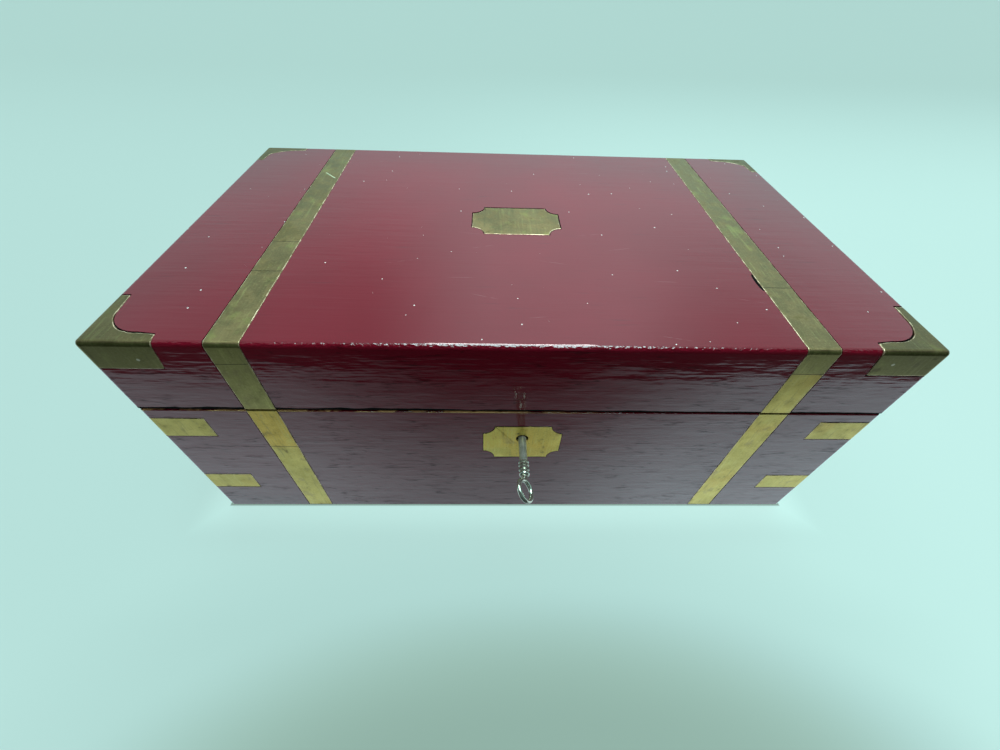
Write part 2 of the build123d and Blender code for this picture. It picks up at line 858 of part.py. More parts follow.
with BuildPart() as base_back_board:
    add(wall_stock(base_block, (-1, 1), (1, 1), 0, height))
    take_out([f"base_back_strap_{side}" for side in sides])
    take_out([f"base_corner_brackets_back_{side}" for side in sides])
    add(hinge_pockets(-1), mode=Mode.SUBTRACT)
    drill(base_hinge_places, rim_screw_long)
finish(base_back_board, "base_back_board")

for side, x_sign in sides.items():
    with BuildPart() as base_end:
        add(wall_stock(base_block, (x_sign, -1), (x_sign, 1), 0, height))
        take_out([f"base_corner_brackets_{end}_{side}" for end in ends])
        add(flap_seat(-1, x_sign, tray_wall[0] + flap_ledge), mode=Mode.SUBTRACT)
        add(handle_pocket(x_sign), mode=Mode.SUBTRACT)
        drill(handle_places(x_sign), handle_screw_long)
    finish(base_end, f"base_{side}_board")
    with BuildPart() as lid_end:
        add(wall_stock(lid_block, (x_sign, -1), (x_sign, 1), 0, lid_under))
        take_out([f"lid_corner_cap_{end}_{side}" for end in ends])
        add(flap_seat(1, x_sign, -inner_y), mode=Mode.SUBTRACT)
    finish(lid_end, f"lid_{side}_board")

with BuildPart() as base_bottom_board:
    Box(2 * inner_x, 2 * inner_y, bottom_board, align=standing)
finish(base_bottom_board, "base_bottom_board")

with BuildPart() as lid_top_board:
    with Locations((0, 0, lid_under)):
        Box(2 * width, 2 * depth, top_board, align=standing)
    add(lid_block.part, mode=Mode.INTERSECT)
    take_out([f"lid_strap_{side}" for side in sides])
    take_out([f"lid_corner_cap_{end}_{side}" for end, side in corners])
    take_out(["lid_name_plate"])
finish(lid_top_board, "lid_top_board")

with BuildPart() as lid_front_board:
    add(wall_stock(lid_block, (-1, -1), (1, -1), 0, lid_under))
    take_out([f"lid_strap_{side}" for side in sides])
    take_out([f"lid_corner_cap_front_{side}" for side in sides])
    with BuildSketch(on_rim(lock_x, plate_mid_run, rim_gap / 2)):
        Rectangle(link_plate_long, plate_run[1] - plate_run[0])
    extrude(amount=plate_thick, mode=Mode.SUBTRACT)
    drill(link_plate_places, rim_screw_long)
finish(lid_front_board, "lid_front_board")

with BuildPart() as lid_back_board:
    add(wall_stock(lid_block, (-1, 1), (1, 1), 0, lid_under))
    take_out([f"lid_strap_{side}" for side in sides])
    take_out([f"lid_corner_cap_back_{side}" for side in sides])
    add(hinge_pockets(1), mode=Mode.SUBTRACT)
    drill(lid_hinge_places, rim_screw_long)
finish(lid_back_board, "lid_back_board")

# The pen and ink section behind the lock
section_front = -inner_y

with BuildPart() as well_wall_board:
    with BuildSketch(Plane.YZ.offset(-inner_x)):
        Polygon(
            (tray_wall[0], bottom_board),
            (tray_wall[1], bottom_board),
            (tray_wall[1], rim_height(tray_wall[1]) - ledge_drop / cos(slope)),
            (tray_wall[0] + flap_ledge, rim_height(tray_wall[0] + flap_ledge) - ledge_drop / cos(slope)),
            (tray_wall[0] + flap_ledge, rim_height(tray_wall[0] + flap_ledge) - flap_top),
            (tray_wall[0], rim_height(tray_wall[0]) - flap_top),
            align=None,
        )
    extrude(amount=2 * inner_x)
finish(well_wall_board, "pen_section_wall")

with BuildPart() as section_floor:
    with BuildSketch(Plane.XY.offset(well_floor[0])):
        Polygon(
            (-inner_x, section_front),
            (inner_x, section_front),
            (inner_x, tray_wall[0]),
            (-inner_x, tray_wall[0]),
            align=None,
        )
    extrude(amount=well_floor[1] - well_floor[0])
finish(section_floor, "pen_section_floor")

tray_low = tray_top - tray_thick
tray_half = partition_x - partition_thick / 2 - tray_side_gap

for side, x_sign in sides.items():
    with BuildPart() as partition:
        with BuildSketch(Plane.XZ.offset(-tray_wall[0])):
            with Locations((x_sign * partition_x, well_floor[1])):
                Rectangle(partition_thick, partition_top - well_floor[1], align=(Align.CENTER, Align.MIN))
            with Locations((x_sign * (partition_x - partition_ledge / 2), well_floor[1])):
                ledge_wide = partition_thick + partition_ledge
                Rectangle(ledge_wide, tray_low - well_floor[1], align=(Align.CENTER, Align.MIN))
        extrude(amount=tray_wall[0] - section_front)
        for edge in partition.edges().filter_by(Axis.Y).group_by(Axis.Z)[-1]:
            fillet(edge, partition_round)
    finish(partition, f"ink_partition_{side}")

groove_z = tray_top + groove_rise
tray_mid = (section_front + tray_wall[0]) / 2

with BuildPart() as pen_tray:
    with Locations((0, tray_mid, tray_low)):
        Box(
            2 * tray_half,
            tray_wall[0] - section_front - 2 * tray_side_gap,
            tray_thick,
            align=standing,
        )
    with BuildSketch(Plane.YZ.offset(-groove_long / 2)):
        with Locations((tray_mid, groove_z)):
            Circle(tray_groove_radius)
    extrude(amount=groove_long, mode=Mode.SUBTRACT)
    with Locations((-groove_long / 2, tray_mid, groove_z), (groove_long / 2, tray_mid, groove_z)):
        Sphere(tray_groove_radius, mode=Mode.SUBTRACT)
finish(pen_tray, "pen_tray")

bottle_low = well_floor[1]
shoulder_z = bottle_low + bottle_tall
bottle_neck, neck_tall = neck_size
bottle_x = (partition_x + partition_thick / 2 + inner_x) / 2

for side, x_sign in sides.items():
    middle = (x_sign * bottle_x, tray_mid)
    with BuildPart() as bottle:
        with BuildSketch(Plane.XY.offset(bottle_low)):
            with Locations(middle):
                RectangleRounded(bottle_side, bottle_side, bottle_corner)
        extrude(amount=bottle_tall)
        fillet(bottle.faces().sort_by(Axis.Z)[-1].edges(), bottle_shoulder)
        with BuildSketch(Plane.XY.offset(shoulder_z)):
            with Locations(middle):
                Circle(bottle_neck)
        extrude(amount=neck_tall)
        with BuildSketch(Plane.XY.offset(bottle_low + bottle_floor)):
            with Locations(middle):
                Circle(ink_radius)
        extrude(amount=bottle_tall - bottle_floor - bottle_roof, mode=Mode.SUBTRACT)
        with BuildSketch(Plane.XY.offset(bottle_low + neck_bore_low)):
            with Locations(middle):
                Circle(neck_bore)
        extrude(amount=bottle_tall, mode=Mode.SUBTRACT)
    finish(bottle, f"ink_bottle_{side}")
    with BuildPart() as bottle_cap:
        with BuildSketch(Plane.XY.offset(shoulder_z + cap_lift)):
            with Locations(middle):
                Circle(bottle_neck + cap_wall)
        extrude(amount=neck_tall - cap_lift + cap_top)
        fillet(bottle_cap.faces().sort_by(Axis.Z)[-1].edges(), cap_round)
        with BuildSketch(Plane.XY.offset(shoulder_z + cap_lift)):
            with Locations(middle):
                Circle(bottle_neck + cap_fit)
        extrude(amount=neck_tall - cap_lift, mode=Mode.SUBTRACT)
    finish(bottle_cap, f"ink_bottle_cap_{side}")

# The spring catch that keeps the lid's flap shut, on the inner face of the lid's front board
catch_z = rim_height(-inner_y) + pivot_drop + catch_rise

with BuildPart() as catch:
    with BuildSketch(Plane.XY.offset(catch_z - catch_tall / 2)):
        with BuildLine():
            Line((catch_x - catch_long / 2, -inner_y), (catch_x + catch_long / 2, -inner_y))
            ThreePointArc(
                (catch_x + catch_long / 2, -inner_y),
                (catch_x, -inner_y + catch_bulge),
                (catch_x - catch_long / 2, -inner_y),
            )
        make_face()
    extrude(amount=catch_tall)
finish(catch, "lid_flap_catch")

print(len(made), "pieces")
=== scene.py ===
"""The finished look of the campaign writing slope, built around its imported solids. Metres."""

import json
import math

import bmesh
import bpy
import numpy as np
from mathutils import Matrix, Vector, noise


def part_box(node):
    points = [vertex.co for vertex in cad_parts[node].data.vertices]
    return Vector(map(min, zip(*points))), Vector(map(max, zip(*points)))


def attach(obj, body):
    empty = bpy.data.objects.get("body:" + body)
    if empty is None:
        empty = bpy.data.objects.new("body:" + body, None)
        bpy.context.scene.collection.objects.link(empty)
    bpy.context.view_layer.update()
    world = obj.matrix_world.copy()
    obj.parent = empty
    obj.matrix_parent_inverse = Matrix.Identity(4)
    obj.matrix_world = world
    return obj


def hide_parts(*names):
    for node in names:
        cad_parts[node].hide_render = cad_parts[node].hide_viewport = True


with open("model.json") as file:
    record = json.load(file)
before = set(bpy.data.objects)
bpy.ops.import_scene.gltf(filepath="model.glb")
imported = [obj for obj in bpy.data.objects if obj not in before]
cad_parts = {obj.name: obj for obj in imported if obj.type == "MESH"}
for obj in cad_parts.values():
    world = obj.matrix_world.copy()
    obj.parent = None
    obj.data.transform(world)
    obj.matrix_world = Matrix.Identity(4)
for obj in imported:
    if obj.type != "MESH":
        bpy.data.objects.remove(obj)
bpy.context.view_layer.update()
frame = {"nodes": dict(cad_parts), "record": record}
mm = 0.001


# Driving sizes; the closed box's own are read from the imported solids
lid_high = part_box("lid_top_board")[1]
half_width = lid_high.x
half_depth = lid_high.y
height = lid_high.z
width = 2 * half_width
edge_radius = 2.6 * mm
base_inset = 0.6 * mm
rim_front = 112.2 * mm
rim_back = 80.0 * mm
slope = math.atan2(rim_front - rim_back, 2 * half_depth)
strap_left_x = -138.1 * mm
strap_right_x = 140.9 * mm

# The body that each node rides on
bodies = frame["record"]["behaviour"]["bodies"]
node_body = {node: body for body, nodes in bodies.items() for node in nodes}


# Camera: a pinhole fitted to the box's corners in the photograph
camera_place = Vector((-0.04408, -0.63392, 0.71496)) * width
camera_turn = math.radians(2.562)
camera_pitch = math.radians(47.26)
camera_roll = math.radians(2.443)
camera_focal_px = 414.0
picture_wide_px = 1000
sensor_mm = 36.0
camera_nearest = 0.01

forward = Vector(
    (
        math.sin(camera_turn) * math.cos(camera_pitch),
        math.cos(camera_turn) * math.cos(camera_pitch),
        -math.sin(camera_pitch),
    )
)
level_right = Vector((math.cos(camera_turn), -math.sin(camera_turn), 0))
level_up = level_right.cross(forward)
right = math.cos(camera_roll) * level_right + math.sin(camera_roll) * level_up
up = -math.sin(camera_roll) * level_right + math.cos(camera_roll) * level_up

camera_data = bpy.data.cameras.new("camera")
camera_data.sensor_width = sensor_mm
camera_data.lens = camera_focal_px / picture_wide_px * sensor_mm
camera_data.clip_start = camera_nearest
camera = bpy.data.objects.new("camera", camera_data)
camera.matrix_world = Matrix.Translation(camera_place) @ Matrix((right, up, -forward)).transposed().to_4x4()
bpy.context.scene.collection.objects.link(camera)
bpy.context.scene.camera = camera
bpy.context.scene.view_settings.view_transform = "Standard"


# Shader graphs
def waves(x_mm, y_mm, z_mm):
    """Waves per metre along each axis, from the size of one wave in millimetres."""
    return tuple(1 / (size * mm) for size in (x_mm, y_mm, z_mm))


class Graph:
    """A node tree with short calls for the nodes that the materials here are made of."""

    def __init__(self, tree):
        self.tree = tree
        tree.nodes.clear()

    def put(self, socket, value):
        """Links a socket's source, or sets its plain value."""
        if isinstance(value, bpy.types.NodeSocket):
            self.tree.links.new(value, socket)
        else:
            socket.default_value = value

    def fill(self, node, **inputs):
        """Links or sets a node's inputs; underscores in their names stand for spaces."""
        for name, value in inputs.items():
            self.put(node.inputs[name.replace("_", " ")], value)

    def node(self, kind, settings=None, **inputs):
        """Adds a node."""
        made = self.tree.nodes.new(kind)
        for key, value in (settings or {}).items():
            setattr(made, key, value)
        self.fill(made, **inputs)
        return made

    def math(self, operation, first, second=0.0):
        """One sum, by the name that the math node gives it."""
        made = self.tree.nodes.new("ShaderNodeMath")
        made.operation = operation
        self.put(made.inputs[0], first)
        self.put(made.inputs[1], second)
        return made.outputs[0]

    def chain(self, operation, values):
        """The same sum over several values, from the first on."""
        total = values[0]
        for value in values[1:]:
            total = self.math(operation, total, value)
        return total

    def times(self, *values):
        """Values multiplied together."""
        return self.chain("MULTIPLY", values)

    def plus(self, *values):
        """Values added up."""
        return self.chain("ADD", values)

    def most(self, *values):
        """The greatest of some values."""
        return self.chain("MAXIMUM", values)

    def minus(self, first, second):
        """What is left of the first value after the second is taken from it."""
        return self.math("SUBTRACT", first, second)

    def without(self, share):
        """What a share leaves of one."""
        return self.math("SUBTRACT", 1.0, share)

    def size(self, value):
        """A value without its sign."""
        return self.math("ABSOLUTE", value)

    def below(self, value, limit):
        """1 where a value is under a limit, and 0 elsewhere."""
        return self.math("LESS_THAN", value, limit)

    def above(self, value, limit):
        """1 where a value is over a limit, and 0 elsewhere."""
        return self.math("GREATER_THAN", value, limit)

    def near(self, value, at, full, gone):
        """1 where a value is within `full` of a place, falling smoothly to 0 at `gone` from it."""
        return self.ramp(self.size(self.minus(value, at)), full, gone, 1.0, 0.0)

    def oval(self, x, y, centre, reach):
        """How far out from an oval's centre a point lies, squared: 1 on the oval itself."""
        across = self.math("DIVIDE", self.minus(x, centre[0]), reach[0])
        along = self.math("DIVIDE", self.minus(y, centre[1]), reach[1])
        return self.plus(self.times(across, across), self.times(along, along))

    def scaled(self, vector, scale):
        """A vector or colour times a number, three numbers or a socket."""
        made = self.tree.nodes.new("ShaderNodeVectorMath")
        made.operation = "MULTIPLY"
        self.put(made.inputs[0], vector)
        self.put(made.inputs[1], (scale,) * 3 if isinstance(scale, float) else scale)
        return made.outputs[0]

    def joined(self, first, second):
        """Two vectors or colours added up."""
        made = self.tree.nodes.new("ShaderNodeVectorMath")
        made.operation = "ADD"
        self.put(made.inputs[0], first)
        self.put(made.inputs[1], second)
        return made.outputs[0]

    def noise(self, vector, scale, detail, rough, shift):
        """Smooth noise between 0 and 1; scale is waves per metre, one number or one for each axis."""
        made = self.tree.nodes.new("ShaderNodeTexNoise")
        made.noise_dimensions = "4D"
        made.inputs["Scale"].default_value = 1.0
        made.inputs["Detail"].default_value = detail
        made.inputs["Roughness"].default_value = rough
        made.inputs["W"].default_value = shift
        each = scale if isinstance(scale, tuple) else (scale,) * 3
        self.put(made.inputs["Vector"], self.scaled(vector, each))
        return made.outputs["Fac"]

    def ramp(self, value, low, high, out_low=0.0, out_high=1.0):
        """A smooth step as a value goes from low to high."""
        made = self.tree.nodes.new("ShaderNodeMapRange")
        made.interpolation_type = "SMOOTHSTEP"
        for socket, number in zip(made.inputs, (value, low, high, out_low, out_high)):
            self.put(socket, number)
        return made.outputs["Result"]

    def mix(self, factor, first, second):
        """A colour between two colours."""
        made = self.tree.nodes.new("ShaderNodeMix")
        made.data_type = "RGBA"
        self.put(made.inputs["Factor"], factor)
        for socket, value in zip([s for s in made.inputs if s.type == "RGBA"], (first, second)):
            self.put(socket, value if isinstance(value, bpy.types.NodeSocket) else (*value, 1.0))
        return [s for s in made.outputs if s.type == "RGBA"][0]

    def tint(self, colour, value, low, high, share, tone):
        """Turns a colour by a share towards a tone as a value goes from low to high."""
        return self.mix(self.ramp(value, low, high, 0.0, share), colour, tone)

    def blend(self, factor, first, second):
        """A number between two numbers."""
        made = self.tree.nodes.new("ShaderNodeMix")
        made.data_type = "FLOAT"
        self.put(made.inputs["Factor"], factor)
        for socket, value in zip([s for s in made.inputs if s.type == "VALUE"][1:3], (first, second)):
            self.put(socket, value)
        return [s for s in made.outputs if s.type == "VALUE"][0]

    def split(self, vector):
        """A vector's three parts."""
        made = self.tree.nodes.new("ShaderNodeSeparateXYZ")
        self.put(made.inputs[0], vector)
        return made.outputs[0], made.outputs[1], made.outputs[2]

    def bump(self, relief, tall, strength=1.0, normal=None):
        """The shading normal over a relief between 0 and 1 that stands `tall` metres."""
        made = self.tree.nodes.new("ShaderNodeBump")
        made.inputs["Distance"].default_value = tall
        self.put(made.inputs["Strength"], strength)
        self.put(made.inputs["Height"], relief)
        if normal is not None:
            self.put(made.inputs["Normal"], normal)
        return made.outputs["Normal"]

    def place(self):
        """Object coordinates, which are the shared frame's, and the object's own normal."""
        made = self.tree.nodes.new("ShaderNodeTexCoord")
        return made.outputs["Object"], made.outputs["Normal"]


def material(name, **fixed):
    """A new material with a principled shader; fixed sets its plain socket values."""
    made = bpy.data.materials.new(name)
    made.use_nodes = True
    graph = Graph(made.node_tree)
    shader = graph.node("ShaderNodeBsdfPrincipled", **fixed)
    output = graph.node("ShaderNodeOutputMaterial")
    graph.tree.links.new(shader.outputs[0], output.inputs["Surface"])
    return made, graph, shader


# Stage: a pale floor under a small soft tent, dimmer where the photographer stood
black = (0.0, 0.0, 0.0)
air_tint = (0.63, 0.95, 0.895)
shade_tint = (0.62, 0.93, 0.80)
backdrop_share = 0.8
floor_reach = 30.0
floor_light = (0.735, 0.860)
floor_lightens_x = (-0.42, 0.38)
floor_far_light = 0.675
floor_fades_y = (0.30, 1.3)
floor_glow = 0.88
floor_albedo = 0.22
floor_bounce = (0.08, 0.10, 0.10)
shade_light = (0.42, 0.72)
contact_wide = (0.2 * mm, 1.4 * mm)
contact_light = 0.45
rim_light_wide = 26 * mm
rim_light = 1.14

# The two soft shades before the box: centre, reach, where each starts and ends, and the light it leaves
floor_shades = (
    ((0.02, -0.320), (0.26, 0.135), (0.25, 1.2), 0.64),
    ((0.0, -0.240), (0.30, 0.11), (0.0, 1.1), 0.86),
)

# What the gloss mirrors of the floor; its lights and its middle's sizes are pairs, for far off and near
mirrored_tint = (0.80, 1.08, 1.16)
mirrored_nearer_y = (-0.25, -0.125)
mirrored_dark_y = (-0.262, -0.243)
mirrored_dark_light = 0.015
mirrored_sides_x = (-0.12, 0.14)
mirrored_left_light = (0.44, 0.75)
mirrored_right_light = (0.75, 0.98)
mirrored_middle_light = (0.075, 0.53)
middle_shift = (0.005, 0.024)
middle_inner = (0.04, 0.02)
middle_outer = (0.27, 0.14)


def seen_floor(graph, place):
    """How light the floor looks to the eye, from place to place."""
    x, y, _ = graph.split(place)
    light = graph.blend(graph.ramp(x, *floor_lightens_x), *floor_light)
    light = graph.blend(graph.ramp(y, *floor_fades_y), light, floor_far_light)
    for centre, reach, (inner, outer), left_light in floor_shades:
        apart = graph.oval(x, y, centre, reach)
        light = graph.times(light, graph.ramp(apart, inner, outer, left_light, 1.0))
    out_x = graph.minus(graph.size(x), half_width - base_inset)
    out_y = graph.minus(graph.size(y), half_depth)
    out = graph.most(out_x, out_y)
    light = graph.times(light, graph.ramp(out, 0.0, rim_light_wide, rim_light, 1.0))
    return graph.times(light, graph.ramp(out, *contact_wide, contact_light, 1.0))


def mirrored_floor(graph, place):
    """How light the floor looks in the box's gloss: pale at the sides, dark where the photographer stood."""
    x, y, _ = graph.split(place)
    nearer = graph.ramp(y, *mirrored_nearer_y)
    left_light = graph.blend(nearer, *mirrored_left_light)
    right_light = graph.blend(nearer, *mirrored_right_light)
    side = graph.blend(graph.ramp(x, *mirrored_sides_x), left_light, right_light)
    middle = graph.blend(nearer, *mirrored_middle_light)
    off_middle = graph.size(graph.plus(x, graph.blend(nearer, *middle_shift)))
    aside = graph.ramp(off_middle, graph.blend(nearer, *middle_inner), graph.blend(nearer, *middle_outer))
    light = graph.blend(aside, middle, side)
    return graph.times(light, graph.ramp(y, *mirrored_dark_y, mirrored_dark_light, 1.0))


def make_floor():
    """The floor: it takes light and shadow as cloth does, and glows to the eye and to reflections."""
    mesh = bpy.data.meshes.new("stage_floor")
    signs = ((-1, -1), (1, -1), (1, 1), (-1, 1))
    mesh.from_pydata([(floor_reach * sx, floor_reach * sy, 0) for sx, sy in signs], [], [(0, 1, 2, 3)])
    floor = bpy.data.objects.new("stage_floor", mesh)
    bpy.context.scene.collection.objects.link(floor)
    made, graph, shader = material("stage_floor", Roughness=0.9, Specular_IOR_Level=0.0)
    place, _ = graph.place()
    rays = graph.node("ShaderNodeLightPath").outputs
    light = seen_floor(graph, place)
    tint = graph.mix(graph.ramp(light, *shade_light), shade_tint, air_tint)
    seen = graph.mix(light, black, tint)
    mirrored = graph.scaled(mirrored_tint, mirrored_floor(graph, place))
    glow = graph.mix(rays["Is Glossy Ray"], graph.scaled(seen, floor_glow), mirrored)
    taken = graph.mix(rays["Is Glossy Ray"], graph.scaled(seen, floor_albedo), black)
    graph.fill(
        shader,
        Base_Color=graph.mix(rays["Is Diffuse Ray"], taken, floor_bounce),
        Emission_Color=glow,
        Emission_Strength=graph.without(rays["Is Diffuse Ray"]),
    )
    floor.data.materials.append(made)


# The tent. Places on it are parts of a direction: how far it points right, back or up, from -1 to 1.
# Its light on rough surfaces grows from the horizon up and from the front to the back
tent_low_light = (0.04, 0.045, 0.045)
tent_high_light = (0.64, 0.66, 0.65)
tent_lightens_up = (0.2, 0.95)
tent_lightens_back = (-0.45, 0.35)
tent_front_light = 0.35
tent_back_light = 1.15

# What the gloss mirrors: the tent's walls, its roof with a lighter middle, and a soft box in the roof
tent_tint = (0.48, 0.87, 0.88)
wall_lightens_right = (-0.45, 0.25)
wall_light = (0.68, 0.88)
roof_starts_up = (0.33, 0.60)
roof_left_light = 0.44
roof_lightens_right = (-0.30, 0.02)
roof_middle_more = 0.72
roof_dims_right = (0.28, 0.58)
roof_right_less = 0.62
soft_box_tint = (0.56, 0.87, 0.88)
soft_box_starts_up = (0.89, 0.95)
soft_box_glare = 11.0
soft_box_starts_right = (-0.34, -0.02)
soft_box_dims_right = (0.24, 0.42)
soft_box_right_less = 0.80
dark_side_ends_back = (-0.28, -0.06)
dark_side_light = 0.04


def make_world():
    """A soft tent: it lights from above, and is pale to the eye and to reflections."""
    world = bpy.data.worlds.new("tent")
    world.use_nodes = True
    graph = Graph(world.node_tree)
    coords = graph.node("ShaderNodeTexCoord")
    right_part, back_part, up_part = graph.split(coords.outputs["Generated"])
    rays = graph.node("ShaderNodeLightPath").outputs
    light = graph.mix(graph.ramp(up_part, *tent_lightens_up), tent_low_light, tent_high_light)
    to_back = graph.ramp(back_part, *tent_lightens_back, tent_front_light, tent_back_light)
    light = graph.scaled(light, to_back)

    walls = graph.ramp(right_part, *wall_lightens_right, *wall_light)
    roof = graph.plus(roof_left_light, graph.ramp(right_part, *roof_lightens_right, 0.0, roof_middle_more))
    roof = graph.minus(roof, graph.ramp(right_part, *roof_dims_right, 0.0, roof_right_less))
    shine = graph.blend(graph.ramp(up_part, *roof_starts_up), walls, roof)
    across = graph.ramp(right_part, *soft_box_starts_right)
    across = graph.minus(across, graph.ramp(right_part, *soft_box_dims_right, 0.0, soft_box_right_less))
    glare = graph.times(graph.ramp(up_part, *soft_box_starts_up, 0.0, soft_box_glare), across)
    lit_side = graph.ramp(back_part, *dark_side_ends_back, dark_side_light, 1.0)
    tent = graph.scaled(tent_tint, graph.times(shine, lit_side))
    soft_box = graph.scaled(soft_box_tint, graph.times(glare, lit_side))

    mirrored_or_lit = graph.mix(rays["Is Diffuse Ray"], graph.joined(tent, soft_box), light)
    backdrop = [backdrop_share * part for part in air_tint]
    colour = graph.mix(rays["Is Camera Ray"], mirrored_or_lit, backdrop)
    background = graph.node("ShaderNodeBackground", Color=colour, Strength=1.0)
    output = graph.node("ShaderNodeOutputWorld")
    graph.tree.links.new(background.outputs[0], output.inputs["Surface"])
    bpy.context.scene.world = world


# The one lamp, low over the box
lamp_place = (0.01, 0.035, 0.42)
lamp_aim = (0.01, 0.02, 0)
lamp_size = (0.20, 0.05)
lamp_watts = 0.50


def make_lamp(name, place, aim, size, power):
    """A soft rectangular lamp that faces a point."""
    data = bpy.data.lights.new(name, "AREA")
    data.shape = "RECTANGLE"
    data.size, data.size_y = size
    data.energy = power
    lamp = bpy.data.objects.new(name, data)
    facing = (Vector(aim) - Vector(place)).to_track_quat("-Z", "Y")
    lamp.matrix_world = Matrix.Translation(place) @ facing.to_matrix().to_4x4()
    bpy.context.scene.collection.objects.link(lamp)


make_floor()
make_world()
make_lamp("lamp_overhead", place=lamp_place, aim=lamp_aim, size=lamp_size, power=lamp_watts)


# Where a point stands on the box
def rim_height(y):
    """The height of the sloping split between lid and base."""
    return rim_front + (rim_back - rim_front) * (y + half_depth) / (2 * half_depth)


def depth_at(point):
    """How far a point lies under the closed box's rounded outside."""
    inset = base_inset if point.z < rim_height(point.y) else 0.0
    qx = abs(point.x) - (half_width - inset - edge_radius)
    qy = abs(point.y) - (half_depth - edge_radius)
    qz = abs(point.z - height / 2) - (height / 2 - edge_radius)
    outer = Vector((max(qx, 0), max(qy, 0), max(qz, 0))).length
    return edge_radius - outer - min(max(qx, qy, qz), 0)


def depth_nodes(graph, x, y, z, rise):
    """The same depth, worked out in a material; rise is the height over the split."""
    inset = graph.times(graph.below(rise, 0.0), base_inset)
    qx = graph.minus(graph.size(x), graph.minus(half_width - edge_radius, inset))
    qy = graph.minus(graph.size(y), half_depth - edge_radius)
    qz = graph.minus(graph.size(graph.minus(z, height / 2)), height / 2 - edge_radius)
    outside = [graph.most(q, 0.0) for q in (qx, qy, qz)]
    outer = graph.math("SQRT", graph.plus(*[graph.times(q, q) for q in outside]))
    inner = graph.math("MINIMUM", graph.most(qx, qy, qz), 0.0)
    return graph.minus(graph.minus(edge_radius, outer), inner)


def rise_nodes(graph, y, z):
    """A point's height over the sloping split, in a material."""
    fall = (rim_front - rim_back) / (2 * half_depth)
    split = graph.minus(rim_front - fall * half_depth, graph.times(y, fall))
    return graph.minus(z, split)


# Bare mahogany
wood_dark = (0.125, 0.040, 0.017)
wood_red = (0.30, 0.118, 0.048)
wood_gold = (0.36, 0.150, 0.060)
wood_pore = (0.055, 0.018, 0.009)


def mahogany_colour(graph, place):
    """Straight-grained mahogany, its grain along the box, and its pores."""
    grain = graph.noise(place, waves(110, 2.6, 2.6), 5, 0.62, 9.0)
    pores = graph.noise(place, waves(16, 0.6, 0.6), 1, 0.5, 2.0)
    figure = graph.noise(place, waves(180, 30, 30), 3, 0.5, 5.0)
    tone = graph.mix(graph.ramp(grain, 0.3, 0.7), wood_dark, wood_red)
    tone = graph.tint(tone, figure, 0.35, 0.7, 0.45, wood_gold)
    return graph.tint(tone, pores, 0.30, 0.22, 1.0, wood_pore), pores


def mahogany():
    """Waxed mahogany, for what lies inside."""
    made, graph, shader = material("mahogany", Coat_Weight=0.25, Coat_Roughness=0.25)
    place, _ = graph.place()
    colour, pores = mahogany_colour(graph, place)
    graph.fill(
        shader,
        Base_Color=colour,
        Roughness=graph.ramp(pores, 0.2, 0.6, 0.52, 0.36),
        Normal=graph.bump(pores, 0.05 * mm, 0.6),
    )
    return made


# Old burgundy paint, and what shows where it is gone
paint_deep = (0.172, 0.0027, 0.013)
paint_clear = (0.207, 0.0038, 0.017)
paint_furrow = (0.07, 0.003, 0.012)
# Near black: painted shade in the paint's wrinkled ridges
painted_ridge_shade = (0.010, 0.003, 0.004)
paint_speck = (0.95, 0.92, 0.90)
paint_scratch = (0.50, 0.26, 0.28)
# Near black: painted shade for the gap over the split, and the dark of the chip in the top
gap_shade_and_chip = (0.006, 0.004, 0.004)
lip_tan = (0.98, 0.62, 0.26)
# Grime and painted shade on the wood of the recesses around the let-in brass
grime_and_shade = (0.016, 0.008, 0.007)
paint_thick = 0.20 * mm
paint_thick_at_rim = 0.95 * mm
grime_and_shade_depth = 1.8 * mm

# The split between lid and base: painted shade for the gap over it, its soft arris, and the bare lip under
# it
rim_wide = 1.6 * mm
arris_wide = 1.3 * mm
opening_narrows_x = (-0.14, 0.10)
opening_wide = (3.4 * mm, 2.0 * mm)
opening_least = 0.45 * mm
opening_under_split = 0.12 * mm
lip_starts_rise = (-1.5 * mm, -0.9 * mm)
lip_starts_x = (0.06, -0.02)

# Specks, scratches and a chip on the top; specks and scratches each stay out of a share of their cells
speck_cells = 55.0
speck_cells_bare = 0.55
speck_largest = 0.024
scratch_cell = (50 * mm, 16 * mm)
scratch_cells_bare = 0.84
scratch_tilt = 0.7
scratch_half_wide = (0.08 * mm, 0.26 * mm)
scratch_half_long = (3 * mm, 9 * mm)
chip_centre = (132.0 * mm, -65.0 * mm)
chip_reach = (1.3 * mm, 8.0 * mm)


def brush_marks(graph, place, on_end, long, wide, detail, shift):
    """Noise drawn out along the box, or across it on its two ends; sizes in millimetres."""
    along = graph.noise(place, waves(long, wide, wide), detail, 0.55, shift)
    ends = graph.noise(place, waves(wide, long, wide), detail, 0.55, shift)
    return graph.blend(on_end, along, ends)


def paint_specks(graph, place):
    """Small round specks of pale dust in the paint, of all sizes."""
    flat = {"voronoi_dimensions": "2D"}
    cells = graph.node("ShaderNodeTexVoronoi", flat, Vector=place, Scale=speck_cells)
    chance = graph.split(cells.outputs["Color"])[0]
    speck_size = graph.ramp(chance, speck_cells_bare, 1.0, 0.0, speck_largest)
    return graph.below(cells.outputs["Distance"], speck_size)


